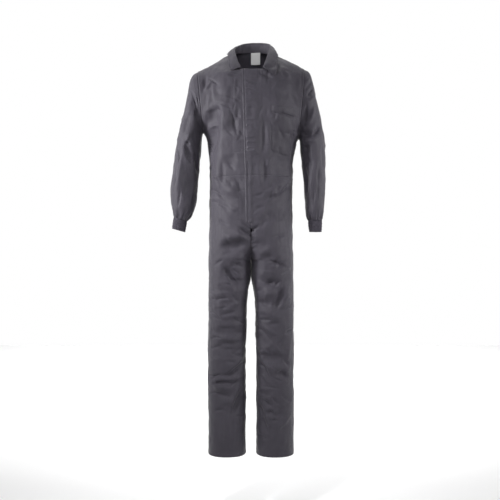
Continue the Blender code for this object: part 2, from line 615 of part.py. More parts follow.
def cut_back(points, normal, amount):
    """Cuts a panel back at its last column by an amount for each row, square to its edge."""
    edge = points[:, -1]
    along = np.gradient(edge, axis=0)
    inward = unit(np.cross(normal[:, -1], along))
    toward = points[:, -2] - edge
    sign = np.sign((inward * toward).sum(axis=1))
    points[:, -1] = edge + inward * (sign * amount)[:, None]


def bodice_grid(side, face):
    cloth, outward = bodice_cloth(side, face)
    toward = -1.0 if face == "front" else 1.0
    rows = SIDE_ROWS + ARMHOLE_ROWS
    u, v = np.meshgrid(np.linspace(0.0, 1.0, BODICE_COLUMNS + 1), np.linspace(0.0, 1.0, rows + 1))

    def base(across, up):
        return bodice(across, up, side, face)

    if face == "front":
        fixed_columns(u, v, base, range(SIDE_ROWS + FRONT_NECK_ROW + 1), side)
    if face == "front" and side > 0:
        even = u.copy()
        low, high = POCKET_ROWS
        first, last = POCKET_COLUMNS
        across = np.linspace(0.0, 1.0, last - first + 1)[None, :]
        climb = np.linspace(0.0, 1.0, high - low + 1)[:, None]
        sides = {name: smooth(POCKET["across"], POCKET[name], across) for name in POCKET if name != "across"}
        x = sides["bottom_x"] + (sides["top_x"] - sides["bottom_x"]) * climb
        z = sides["bottom_z"] + (sides["top_z"] - sides["bottom_z"]) * climb
        block = (slice(low, high + 1), slice(first, last + 1))
        u[block], v[block] = find(base, x, z, u[block], v[block])
        for beside, one, other in ((first - 1, first - 2, first), (last + 1, last, last + 2)):
            u[low : high + 1, beside] = (u[low : high + 1, one] + u[low : high + 1, other]) / 2.0
            v[low : high + 1, beside] = (v[low : high + 1, one] + v[low : high + 1, other]) / 2.0
        for edge, outward_rows in ((high, (1, 2, 3)), (low, (-1, -2, -3))):
            for row, share in zip(outward_rows, (0.75, 0.5, 0.25)):
                u[edge + row] += share * (u[edge] - even[edge])

    points = cloth(u, v)
    normal = normals(cloth, np.clip(u, 1e-3, 0.999), np.clip(v, 1e-3, 0.999), outward)
    if face == "front":
        corner_row = SIDE_ROWS + FRONT_NECK_ROW
        clear_of_middle(points[: corner_row + 1, 0], normal[: corner_row + 1, 0], side)
    points[0, :, 2] = WAIST_Z + SEAM_GAP / 2.0
    up = np.linspace(0.0, 1.0, ARMHOLE_ROWS + 1)
    normal[SIDE_ROWS, -1] = (side, 0.0, 0.0)
    amount = ARMHOLE_TRIM[1] + (ARMHOLE_TRIM[0] - ARMHOLE_TRIM[1]) * (1 - up) ** 3
    cut_back(points[SIDE_ROWS:], normal[SIDE_ROWS:], amount)
    points[SIDE_ROWS, -1] = cloth(np.array(1.0), np.array(SIDE_ROWS / rows)) - (0.0, 0.0, ARMHOLE_TRIM[0])
    points[: SIDE_ROWS + 1, -1, 1] = toward * SEAM_GAP / 2.0
    points[-1, :, 1] = toward * RIDGE_TRIM
    return points, normal


def lower_grid(side, face):
    cloth, outward = lower_cloth(side, face)
    toward = -1.0 if face == "front" else 1.0
    rows = HIP_ROWS + RISE_ROWS + LEG_ROWS
    u, v = np.meshgrid(np.linspace(0.0, 1.0, LEG_COLUMNS + 1), np.linspace(0.0, 1.0, rows + 1))
    if face == "front":
        fixed_columns(u, v, lambda across, down: lower(across, down, side, face), range(FLAP_END_ROW + 1), side)
    points = cloth(u, v)
    normal = normals(cloth, np.clip(u, 1e-3, 0.999), np.clip(v, 1e-3, 0.999), outward)
    crotch_row = HIP_ROWS + RISE_ROWS
    clear_of_middle(points[: crotch_row + 1, 0], normal[: crotch_row + 1, 0], side)
    points[0, :, 2] = WAIST_Z - SEAM_GAP / 2.0
    points[:, -1, 1] = toward * SEAM_GAP / 2.0
    points[crotch_row:, 0, 1] = toward * SEAM_GAP / 2.0
    return points, normal


def hole_turns(side):
    """Places round a sleeve that meet the rows of the bodice at the armhole."""
    share = np.arange(2 * ARMHOLE_ROWS) / ARMHOLE_ROWS
    down = math.pi / 2.0 - hole_angle(1.0 - np.minimum(share, 1.0), side)
    up = math.pi + math.pi / 2.0 + hole_angle(np.maximum(share, 1.0) - 1.0, side)
    return np.where(share <= 1.0, down, up) / (2.0 * math.pi)


def sleeve_grid(side):
    cloth, _ = sleeve_cloth(side)
    turn, v = np.meshgrid(hole_turns(side), np.linspace(0.0, 1.0, SLEEVE_ROWS + 1))
    points = cloth(turn, v)
    under = (1.0 - np.cos(2.0 * math.pi * turn[0])) / 2.0
    amount = ARMHOLE_TRIM[1] + (ARMHOLE_TRIM[0] - ARMHOLE_TRIM[1]) * under**3
    points[0] += unit(points[1] - points[0]) * amount[:, None]
    return points


def cuff_grid(side):
    turn, v = np.meshgrid(hole_turns(side), np.linspace(0.0, 1.0, CUFF_ROWS + 1))
    points = cuff(turn, v, side)
    points[0] += unit(points[1] - points[0]) * (SEAM_GAP + 0.0006)
    return points


def collar_grid(side):
    """From the neck seam up to the roll, over it and down to the free edge, on one side."""
    t = np.linspace(0.0, 1.0, COLLAR_COLUMNS + 1)
    places = np.linspace(0.0, 1.0, len(COLLAR["neck"]))
    shape = COLLAR_EDGE[side]
    place = smooth(places, (shape["front_neck"],) + COLLAR["neck"][1:], t)
    neck = stack(*(np.interp(place, range(len(NECK["x"])), NECK[axis]) for axis in "xyz"))
    roll_x = smooth(places, shape["roll_x"], t)
    roll = stack(roll_x, smooth(places, COLLAR["roll_y"], t), smooth(places, shape["roll_z"], t))
    edge = stack(
        smooth(places, shape["x"], t),
        smooth(places, COLLAR["edge_y"], t),
        smooth(places, shape["z"], t),
    )
    outward = unit(roll * np.array([1.0, 1.0, 0.0]) - np.array([0.0, 0.004, 0.0]))
    up = np.array([0.0, 0.0, 1.0])
    foot = neck + up * 0.0016
    inside = roll - up * ROLL_RADIUS
    top = roll + outward * ROLL_RADIUS
    outside = roll + outward * 2.0 * ROLL_RADIUS - up * ROLL_RADIUS
    rows = [foot, foot + (inside - foot) * 0.5, inside, top, outside]
    for share in (0.25, 0.5, 0.75, 1.0):
        bulge = outward * 0.004 * math.sin(math.pi * share)
        rows.append(outside + (edge - outside) * share + bulge)
    points = np.stack(rows)
    return points * np.array([side, 1.0, 1.0])


def press_out(points, panels, clearance, first_row):
    """Moves points that are nearer to the outside of the panels than the clearance away from them."""
    parts = 5
    for panel, normal in panels:
        rows, columns = (np.arange(count * parts - parts) / parts for count in panel.shape[:2])
        a, b = np.meshgrid(rows, columns)
        i, j = a.astype(int), b.astype(int)
        s, t = (a - i)[..., None], (b - j)[..., None]
        mix = [
            (1 - s) * (1 - t) * grid[i, j]
            + s * (1 - t) * grid[i + 1, j]
            + (1 - s) * t * grid[i, j + 1]
            + s * t * grid[i + 1, j + 1]
            for grid in (panel, normal)
        ]
        places, facing = mix[0].reshape(-1, 3), unit(mix[1]).reshape(-1, 3)
        for _ in range(10):
            flat = points[first_row:].reshape(-1, 3)
            apart = np.linalg.norm(flat[:, None, :] - places[None, :, :], axis=2)
            nearest = apart.argmin(axis=1)
            height = ((flat - places[nearest]) * facing[nearest]).sum(axis=1)
            close = (apart.min(axis=1) < 0.015) & (height < clearance)
            flat = flat + facing[nearest] * np.where(close, clearance - height, 0.0)[:, None]
            points[first_row:] = flat.reshape(points[first_row:].shape)
    return points


def moved_out(grid, rows, columns):
    points, normal = grid
    return (points + normal * (WALL + LAYER_GAP))[rows, columns]


def flap_grids(bodices, lowers):
    """The flap over the closing, on the points of the two fronts under it."""
    neck_row = SIDE_ROWS + FRONT_NECK_ROW
    strips = []
    joint = None
    for panels, first, last, width in (
        (bodices, STEP_ROW, neck_row, 2),
        (bodices, 0, STEP_ROW, 1),
        (lowers, 1, FLAP_END_ROW, 1),
    ):
        rows = slice(first, last + 1)
        right = moved_out(panels[-1], rows, slice(0, 2))
        left = moved_out(panels[+1], rows, slice(0, width + 1))
        middle = (right[:, :1] + left[:, :1]) / 2.0
        for half in (right, left):
            half[:, :1] = middle
            if first == 0:
                half[0, :, 2] = WAIST_Z
        if panels is lowers:
            right, left = np.concatenate([joint[0], right]), np.concatenate([joint[1], left])
        joint = right[:1], left[:1]
        strips += [right, left]
    return strips


def pocket_grid(bodices):
    low, high = POCKET_ROWS
    first, last = POCKET_COLUMNS
    return moved_out(bodices[+1], slice(low, high + 1), slice(first, last + 1))


def label_grid():
    """A strip that hangs inside the back of the neck."""
    x = np.linspace(LABEL_X[0], LABEL_X[1], 4)[None, :]
    z = np.linspace(LABEL_Z[0], LABEL_Z[1], 5)[:, None]
    depth = smooth(BACK_LINE["z"], BACK_LINE["depth"], z) - NECK_ROUND * x**2
    in_front = WALL / 2.0 + LABEL_WALL / 2.0 + 0.0025
    return stack(x + 0 * z, depth - in_front, z + 0 * x)


def build():
    for existing in list(bpy.data.objects):
        bpy.data.objects.remove(existing, do_unlink=True)
    suit = bpy.data.collections.new("boiler_suit")
    bpy.context.scene.collection.children.link(suit)

    sides = {+1: "left", -1: "right"}
    fronts = {side: bodice_grid(side, "front") for side in sides}
    backs = {side: bodice_grid(side, "back") for side in sides}
    front_legs = {side: lower_grid(side, "front") for side in sides}
    back_legs = {side: lower_grid(side, "back") for side in sides}
    torso = out_from(0.0, 0.0)
    for side, name in sides.items():
        leg = out_from(side * 0.093, 0.0)
        arm = out_from(side * 0.235, -0.005)
        wall(suit, "front_" + name, [fronts[side][0]], WALL, SLATE, torso)
        wall(suit, "leg_front_" + name, [front_legs[side][0]], WALL, SLATE, leg)
        wall(suit, "leg_back_" + name, [back_legs[side][0]], WALL, SLATE, leg)
        wall(suit, "sleeve_" + name, [sleeve_grid(side)], WALL, SLATE, arm, closed=True)
        wall(suit, "cuff_" + name, [cuff_grid(side)], CUFF_WALL, SLATE_KNIT, arm, closed=True)
    wall(suit, "back", [backs[+1][0], backs[-1][0]], WALL, SLATE, torso)

    panels = [fronts[+1], fronts[-1], backs[+1], backs[-1]]
    clearance = WALL / 2.0 + COLLAR_WALL / 2.0 + LAYER_GAP + COLLAR_LIFT
    collar = [press_out(collar_grid(side), panels, clearance, 4) for side in sides]
    for half in collar:
        half[:, -1, 0] = 0.0
    collar[1][:, -1] = collar[0][:, -1]
    wall(suit, "collar", collar, COLLAR_WALL, SLATE, torso)
    wall(suit, "placket", flap_grids(fronts, front_legs), WALL, SLATE, torso)
    wall(suit, "chest_pocket", [pocket_grid(fronts)], WALL, SLATE, torso)
    wall(suit, "neck_label", [label_grid()], LABEL_WALL, WHITE, torso, roughness=0.6)


build()
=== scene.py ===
"""A boiler suit in its worn shape with nobody in it, dressed with creases, seams, stitches and knit cuffs.

Metres, +Z up. The suit faces -Y, so the wearer's left is +X. The large forms are the part's own, from the
same tables, and what cloth does between its seams is added here. Sides are +1, wearer's left, and -1, right.
"""

import math

import bmesh
import bpy
import numpy as np
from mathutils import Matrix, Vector
from mathutils.bvhtree import BVHTree


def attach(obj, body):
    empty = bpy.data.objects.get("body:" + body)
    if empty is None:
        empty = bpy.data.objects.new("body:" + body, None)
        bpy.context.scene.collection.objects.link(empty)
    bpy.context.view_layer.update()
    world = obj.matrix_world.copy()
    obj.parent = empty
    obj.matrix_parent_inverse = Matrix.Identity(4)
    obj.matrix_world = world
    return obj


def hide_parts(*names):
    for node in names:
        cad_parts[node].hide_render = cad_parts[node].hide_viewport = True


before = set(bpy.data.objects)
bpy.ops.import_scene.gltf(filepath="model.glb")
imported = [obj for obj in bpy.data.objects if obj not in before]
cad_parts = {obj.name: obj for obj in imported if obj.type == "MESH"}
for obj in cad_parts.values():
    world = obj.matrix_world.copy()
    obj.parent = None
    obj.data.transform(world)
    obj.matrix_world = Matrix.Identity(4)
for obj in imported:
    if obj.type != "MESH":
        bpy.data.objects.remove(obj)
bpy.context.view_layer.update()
SIDES = {+1: "left", -1: "right"}
TENTHS = 10000.0  # of a millimetre, to a metre


def metres(table, per_metre=1000.0):
    """A table of millimetres, or of another part of a metre, in metres."""
    if isinstance(table, dict):
        return {key: metres(value, per_metre) for key, value in table.items()}
    if isinstance(table, tuple):
        return tuple(metres(value, per_metre) for value in table)
    return table / per_metre


# Cloth and sewing
WALL = 0.0015  # cloth thickness
LAYER_GAP = 0.0006  # between a panel and what is sewn on it
COLLAR_WALL = 0.0020  # two layers of cloth with a stiffener
LABEL_WALL = 0.0010

# Heights
WAIST_Z = -0.487
CHEST_Z = -0.318  # of the middle line, on the row that ends in the armpit
RISE_TOP_Z = {"front": -0.660, "back": -0.705}  # below this the middle seam turns in towards the crotch
CROTCH_Z = -0.806
HEM_Z = -1.556

# Armhole: an upright oval from the armpit to the shoulder tip
ARMPIT = {+1: (0.184, -0.336), -1: (0.184, -0.312)}  # wearer's left (+1) and right (-1): x, z
SHOULDER_TIP = {+1: (0.207, -0.066), -1: (0.207, -0.076)}
SHOULDER_SLOPE = {+1: -0.36, -1: -0.56}  # where the shoulder seam leaves the neck
ARMHOLE_REACH = 0.068  # of the oval to the front and to the back
FULLNESS = 0.627  # of a quarter of a section: 0.552 is an ellipse, more is boxier

# Rows of the part's own grids, which the heights of its corners follow
SIDE_ROWS = 8  # from the waist up to the armpit
ARMHOLE_ROWS = 10  # from the armpit up to the shoulder seam
FRONT_NECK_ROW = 6  # the row of those ten that ends at the front of the neck
BACK_NECK_ROW = 7
HIP_ROWS = 5  # from the waist down to where the middle seam turns in
RISE_ROWS = 7  # from there down to the crotch
LEG_ROWS = 30  # from the crotch down to the hem
LOWER_ROWS = HIP_ROWS + RISE_ROWS + LEG_ROWS
ARMPIT_V = SIDE_ROWS / (SIDE_ROWS + ARMHOLE_ROWS)  # places in the length of the panels
RISE_V = HIP_ROWS / LOWER_ROWS
CROTCH_V = (HIP_ROWS + RISE_ROWS) / LOWER_ROWS

# The torso above the waist: depth of the middle line in front and behind, half width at the side seams
FRONT_LINE = metres({
    "z": (-487, -400, -300, -200, -130, -83),
    "depth": (116, 121, 127, 122, 108, 94),
})
BACK_LINE = metres({
    "z": (-487, -400, -300, -200, -100, -30, 18),
    "depth": (104, 109, 122, 126, 112, 87, 64),
})
SIDE_LINE = metres({
    +1: {
        "z": (-487, -440, -401, -370, -350, -336),
        "half_width": (160, 161, 167, 173, 177, 184),
    },
    -1: {
        "z": (-487, -440, -401, -362, -328, -312),
        "half_width": (160, 160.5, 163.5, 168, 175.5, 184),
    },
})
# The way in which a row of the bodice runs into the armhole seam, from the armpit (0) to the shoulder tip (1)
ARMHOLE_RUN = {
    "up": (0.00, 0.20, 0.50, 0.80, 1.00),
    "out": (0.00, 0.55, 0.88, 0.90, 0.885),
    "round": (1.00, 0.80, 0.42, 0.15, 0.00),
    "rise": (0.00, -0.10, -0.22, -0.40, -0.465),
}
# The suit below the waist: distance of the inseam and the side seam from the middle, and the depths
LOWER = metres({
    "z": (-1556, -1350, -1260, -1135, -1010, -947, -916, -885, -850, -806, -720, -640, -560, -487),
    "outer": (165, 166, 166.5, 166.5, 166, 165.5, 165, 164.5, 164, 163.8, 162.5, 160.5, 160, 160),
    "front": (81, 80, 81, 83, 88, 92, 94, 96, 99, 104, 116, 120, 120, 116),
    "back": (83, 83, 85, 89, 95, 100, 103, 107, 111, 117, 123, 121, 112, 104),
})
INSEAM = metres({
    "z": (-1556, -1350, -1260, -1135, -1010, -947, -916, -885, -850, -806),
    "inner": (21.5, 21.2, 21, 19.7, 17.5, 13.7, 9.8, 4.8, 2.2, 1.2),
})
# The neck seam from the middle of the front round to the middle of the back
NECK = metres({
    "x": (0, 40, 62.5, 72.5, 73.5, 64, 38, 0),
    "y": (-94, -89, -66, -31, 0, 34, 57, 64),
    "z": (-83, -81, -59, -24, -6, 7, 15, 18),
})
NECK_SIDE = 4  # the place in NECK where the shoulder seam ends
NECK_BACK = 7
# Each sleeve from the armhole to the cuff: the point of a ring nearest the body (under) and farthest (over),
# half the ring's depth, and how far back its middle is
ALONG_SLEEVE = (0.00, 0.03, 0.06, 0.13, 0.22, 0.32, 0.43, 0.55, 0.68, 0.80, 0.89, 0.95, 1.00)
SLEEVE_DEPTH = metres({
    "half_depth": (68, 68, 68, 69, 70, 70, 68, 66, 64, 62, 56, 46, 33),
    "back": (0, 0, 0, 0, 0, -1, -3, -5, -8, -13, -18, -21, -24),
})
SLEEVE = metres({
    +1: {
        "under_x": (184, 187.5, 189.5, 191, 193, 196, 200, 204, 207, 210.5, 212.5, 216, 222.3),
        "under_z": (-336, -339, -346, -364, -385, -412, -448, -488, -532, -582, -618, -638, -654),
        "over_x": (207, 219, 230, 243, 253.5, 267, 280, 287, 288.6, 287.5, 283, 279, 274.2),
        "over_z": (-66, -74, -87, -130, -178, -235, -298, -372, -452, -540, -598, -632, -652),
    },
    -1: {
        "under_x": (184, 187.5, 189.5, 191, 193, 196, 200, 204, 208.5, 213.5, 220.5, 232, 247.7),
        "under_z": (-312, -315, -322, -342, -366, -398, -438, -484, -532, -580, -612, -638, -656),
        "over_x": (207, 219, 228, 240, 249, 261, 277, 292, 303, 311, 308, 303, 298),
        "over_z": (-76, -84, -95, -135, -180, -235, -298, -372, -452, -540, -592, -622, -641),
    },
})
CUFF_DEPTH = metres({"half_depth": (32, 33, 32), "back": (-24, -25, -26)})
CUFF = metres({
    +1: {
        "under_x": (222.3, 224, 227),
        "under_z": (-654, -676, -697),
        "over_x": (274.2, 273.5, 271.8),
        "over_z": (-652, -675, -697),
    },
    -1: {
        "under_x": (247.7, 251.2, 255.8),
        "under_z": (-656, -677, -698),
        "over_x": (298, 301.2, 303.4),
        "over_z": (-641, -663, -684.5),
    },
})
# The collar from its front end round to the middle of the back: its place in NECK, its roll and its free edge
COLLAR_NECK = (1.60, 2.35, 3.20, 4.10, 5.00, 6.00, 7.00)
COLLAR_FRONT = {+1: 1.24, -1: 0.945}  # the place in NECK of each front end
COLLAR = metres({
    "roll_y": (-93, -75, -45, -12, 20, 47, 62, 67),
    "edge_y": (-96, -80, -50, -18, 18, 52, 80, 90),
})
COLLAR_EDGE = metres({
    +1: {
        "roll_x": (46.5, 54, 65, 73.5, 73.5, 60, 34, 0),
        "roll_z": (-74.5, -48, -12, 16, 36, 49, 55, 56),
        "x": (85.3, 94, 98.5, 105, 103, 84, 50, 0),
        "z": (-108, -76, -40, -12, 0, 7, 6, 5),
    },
    -1: {
        "roll_x": (38.5, 50, 59, 63, 59.5, 48, 28, 0),
        "roll_z": (-74.5, -48, -12, 15, 28, 40, 51, 56),
        "x": (75.8, 85, 87, 89.5, 93.5, 79.5, 48, 0),
        "z": (-89.5, -66, -36.5, -11, -2, 6.5, 6, 5),
    },
})
COLLAR_COLUMNS = 66  # from a front end to the middle of the back
ROLL_RADIUS = 0.0028

# Flap over the closing, wearer's left over right: its free edge, and the first two columns of the left front
# under it. It is sewn down on the second in its wide part, and on the first below
FLAP = metres({
    "z": (-665, -620, -560, -460, -440, -423.6, -340, -250, -165, -83),
    "free_x": (19.5, 21.5, 23, 24, 24.5, 25, 27.5, 30.5, 33, 35.2),
    "first_x": (6, 8, 8.5, 9, 12.5, 21.6, 21.6, 21.6, 21.6, 21.6),
    "second_x": (30, 35, 38, 41, 42.5, 43.2, 43.2, 43.2, 43.2, 43.2),
})
# Patch pocket on the wearer's left chest, its corners and the middle of its top and bottom
POCKET_ACROSS = (0.0, 0.5, 1.0)
POCKET = metres({
    "top_x": (77, 124, 166),
    "top_z": (-223, -228, -235),
    "bottom_x": (75, 115, 150),
    "bottom_z": (-396, -406, -414),
})
LABEL_X = (0.0000, 0.0365)
LABEL_Z = (-0.0290, 0.0150)
NECK_ROUND = 4.85  # how fast the back of the neck comes forward, by the square of x

# Folds of the cloth seen from the front: x and z of the start and of the end, width, and the depth of a soft
# channel (> 0) or a ridge (< 0)
FRONT_FOLDS = metres((
    # bodice
    (-139, -210, -162, -300, 22, 10), (-143, -115, -110, -225, 20, 4), (-71, -265, -66, -335, 16, 4),
    (-120, -330, -105, -450, 22, -5), (176, -130, 186, -240, 14, 5), (60, -260, 58, -400, 16, 4),
    (135, -120, 120, -180, 20, -4), (-60, -400, -90, -470, 20, 3), (140, -400, 70, -500, 24, 6),
    # hips and seat
    (-152, -520, -58, -612, 18, 9), (-130, -500, -50, -575, 18, -4), (92, -565, 22, -598, 16, 6),
    (85, -622, 20, -680, 16, 8), (-45, -680, 20, -725, 14, 6), (-120, -752, -12, -750, 22, 10),
    (-100, -720, -30, -718, 20, -5), (10, -735, 70, -755, 16, 5),
    # wearer's right leg
    (-100, -826, -44, -925, 20, 8), (-120, -960, -60, -985, 14, 5), (-150, -975, -100, -990, 14, -4),
    (-135, -1064, -40, -1060, 14, 6), (-135, -1092, -35, -1100, 14, -6),
    (-135, -1118, -40, -1125, 12, 4), (-40, -1200, -105, -1256, 16, 7),
    (-150, -1268, -60, -1280, 12, 6), (-150, -1296, -80, -1285, 12, -5),
    (-140, -1312, -50, -1320, 12, 5), (-32, -1315, -60, -1420, 16, 7), (-85, -1380, -78, -1540, 20, -4),
    # wearer's left leg
    (50, -896, 120, -900, 18, 7), (28, -960, 80, -975, 16, 6), (128, -905, 92, -1010, 18, 6),
    (60, -1000, 110, -1040, 16, -4), (22, -1080, 70, -1140, 14, 6), (30, -1160, 60, -1155, 12, -5),
    (30, -1185, 128, -1190, 14, 8), (35, -1212, 130, -1228, 14, -6), (22, -1210, 80, -1305, 14, 8),
    (95, -1255, 140, -1235, 16, 6), (40, -1330, 95, -1330, 12, -4), (55, -1395, 90, -1380, 14, 6),
    (28, -1400, 60, -1480, 14, 5), (110, -1390, 80, -1520, 18, -5),
    # sleeves
    (-205, -185, -190, -285, 16, 6), (-240, -155, -212, -225, 14, 5), (-218, -300, -208, -400, 18, 6),
    (-258, -345, -206, -430, 16, 8), (-285, -420, -262, -560, 18, -5), (-225, -480, -240, -590, 16, 5),
    (238, -105, 210, -155, 14, 5), (244, -140, 215, -190, 12, 5), (195, -318, 235, -330, 14, 8),
    (235, -330, 272, -295, 14, 7), (205, -345, 222, -470, 16, 7), (245, -400, 250, -560, 20, -5),
    (275, -480, 262, -600, 16, 4),
))
BACK_FOLDS = metres((
    (-120, -160, -155, -290, 22, 8), (120, -160, 155, -300, 22, 8), (-60, -390, -20, -470, 20, 5),
    (70, -370, 30, -480, 22, 6), (-110, -440, -40, -500, 20, 5), (130, -430, 60, -520, 20, 5),
    (-110, -560, -30, -620, 20, 5), (100, -550, 40, -640, 20, 6), (-120, -800, -30, -770, 20, 6),
    (120, -810, 30, -775, 20, 6), (-130, -850, -40, -830, 18, 5), (125, -860, 35, -835, 18, 5),
    (-140, -1060, -50, -1080, 16, 6), (-40, -1130, -130, -1150, 16, 7),
    (-140, -1210, -60, -1195, 16, 6), (-50, -1280, -120, -1310, 16, 5), (140, -1050, 50, -1075, 16, 6),
    (40, -1120, 130, -1150, 16, 7), (140, -1220, 60, -1200, 16, 6), (50, -1290, 125, -1320, 16, 5),
    (-95, -1350, -85, -1530, 20, -4), (95, -1350, 90, -1530, 20, -4), (-215, -330, -270, -360, 16, 7),
    (-210, -400, -275, -410, 16, 6), (215, -340, 260, -370, 16, 7), (210, -410, 265, -420, 16, 6),
    (-205, -180, -200, -270, 16, 5), (205, -180, 200, -280, 16, 5), (-260, -460, -285, -590, 18, 5),
    (245, -470, 262, -600, 18, 5),
))
SLEEVE_GATHERS = 5  # pleats round the end of a sleeve, where the cuff draws it in
GATHER_DEPTH = 0.0025
GATHER_REACH = 0.14  # of the sleeve's length

SLOPE_STEP = 1e-4  # of u and v, over which slopes are measured
SEARCH = {"rounds": 40, "share": 0.7, "last": 0.999}  # for the place on a surface that is seen at x and z


# ---- curves and surfaces -------------------------------------------------------------------------
def smooth(xs, ys, x):
    """A curve through the points of a table that has no bumps between them."""
    xs, ys = np.asarray(xs, float), np.asarray(ys, float)
    step = np.diff(xs)
    slope = np.diff(ys) / step
    lean = np.empty(len(xs))
    lean[0], lean[-1] = slope[0], slope[-1]
    for i in range(1, len(xs) - 1):
        before, after = slope[i - 1], slope[i]
        lean[i] = 0.0 if before * after <= 0 else 2.0 * before * after / (before + after)
    x = np.clip(x, xs[0], xs[-1])
    i = np.clip(np.searchsorted(xs, x, side="right") - 1, 0, len(xs) - 2)
    t = (x - xs[i]) / step[i]
    bend = step[i] * ((t**3 - 2 * t**2 + t) * lean[i] + (t**3 - t**2) * lean[i + 1])
    return (2 * t**3 - 3 * t**2 + 1) * ys[i] + (3 * t**2 - 2 * t**3) * ys[i + 1] + bend


def ease(x):
    x = np.clip(x, 0.0, 1.0)
    return x * x * (3.0 - 2.0 * x)


def bell(distance, width):
    return np.exp(-((distance / width) ** 2))


def stack(*parts):
    return np.stack(np.broadcast_arrays(*parts), axis=-1)


def unit(vectors):
    return vectors / np.maximum(np.linalg.norm(vectors, axis=-1, keepdims=True), 1e-12)


def neck_seam(place):
    """Point of the neck seam, on the wearer's left, at a place between the columns of NECK."""
    places = range(len(NECK["x"]))
    return stack(*(smooth(places, NECK[axis], place) for axis in "xyz"))


def hole_angle(share, side):
    """Angle round the armhole by length of seam: -90 degrees in the armpit, +90 at the shoulder tip."""
    angle = np.linspace(-math.pi / 2, math.pi / 2, 181)
    half_height = (SHOULDER_TIP[side][1] - ARMPIT[side][1]) / 2.0
    speed = np.hypot(ARMHOLE_REACH * np.sin(angle), half_height * np.cos(angle))
    length = np.concatenate([[0.0], np.cumsum((speed[1:] + speed[:-1]) / 2.0)])
    return np.interp(share, length / length[-1], angle)


def bodice(u, v, side, face):
    """u: 0 at the middle or the neck seam, 1 at the side. v: 0 at the waist, 1 at the shoulder seam."""
    u, v = np.broadcast_arrays(np.asarray(u, float), np.asarray(v, float))
    front = face == "front"
    toward = -1.0 if front else 1.0
    low = np.clip(v / ARMPIT_V, 0.0, 1.0)
    up = np.clip((v - ARMPIT_V) / (1.0 - ARMPIT_V), 0.0, 1.0)
    corner = (FRONT_NECK_ROW if front else BACK_NECK_ROW) / ARMHOLE_ROWS
    line = FRONT_LINE if front else BACK_LINE

    # the middle line, then the neck seam
    z = WAIST_Z + (CHEST_Z - WAIST_Z) * low + (line["z"][-1] - CHEST_Z) * np.clip(up / corner, 0.0, 1.0)
    middle = stack(0.0, toward * smooth(line["z"], line["depth"], z), z)
    round_neck = np.clip((up - corner) / (1.0 - corner), 0.0, 1.0)
    first = 0 if front else NECK_BACK
    neck = neck_seam(first + (NECK_SIDE - first) * round_neck)
    inner = np.where((up > corner)[..., None], neck, middle)

    # the side seam, then the armhole
    armpit_x, armpit_z = ARMPIT[side]
    z = WAIST_Z + (armpit_z - WAIST_Z) * low
    seam = stack(smooth(SIDE_LINE[side]["z"], SIDE_LINE[side]["half_width"], z), 0.0, z)
    turn = hole_angle(up, side)
    share = (1.0 + np.sin(turn)) / 2.0
    hole = stack(
        armpit_x + (SHOULDER_TIP[side][0] - armpit_x) * share,
        toward * ARMHOLE_REACH * np.cos(turn),
        armpit_z + (SHOULDER_TIP[side][1] - armpit_z) * share,
    )
    outer = np.where((up > 0.0)[..., None], hole, seam)

    # each row leaves the middle level and turns round to the side, or runs down the shoulder
    shoulder = unit(np.array([1.0, 0.0, SHOULDER_SLOPE[side]]))
    leave = unit(np.array([1.0, 0.0, 0.0]) * (1.0 - round_neck)[..., None] + shoulder * round_neck[..., None])
    arrive = unit(
        stack(
            smooth(ARMHOLE_RUN["up"], ARMHOLE_RUN["out"], up),
            -toward * smooth(ARMHOLE_RUN["up"], ARMHOLE_RUN["round"], up),
            smooth(ARMHOLE_RUN["up"], ARMHOLE_RUN["rise"], up),
        )
    )
    chord = outer - inner
    first_handle = inner + leave * FULLNESS * np.abs((chord * leave).sum(-1, keepdims=True))
    last_handle = outer - arrive * FULLNESS * np.abs((chord * arrive).sum(-1, keepdims=True))
    t = u[..., None]
    point = (
        (1 - t) ** 3 * inner
        + 3 * (1 - t) ** 2 * t * first_handle
        + 3 * (1 - t) * t**2 * last_handle
        + t**3 * outer
    )
    return point * np.array([side, 1.0, 1.0])


def quarter(t):
    """A quarter of a section of size 1: across from the middle, and depth left."""
    across = 3 * (1 - t) ** 2 * t * FULLNESS + 3 * (1 - t) * t**2 + t**3
    depth = (1 - t) ** 3 + 3 * (1 - t) ** 2 * t + 3 * (1 - t) * t**2 * FULLNESS
    return across, depth


def rise(z, face):
    """How far the middle seam has turned in: 0 at the top of the rise, 1 at the crotch."""
    drop = np.clip((RISE_TOP_Z[face] - z) / (RISE_TOP_Z[face] - CROTCH_Z), 0.0, 1.0)
    return 1.0 - np.sqrt(1.0 - drop)


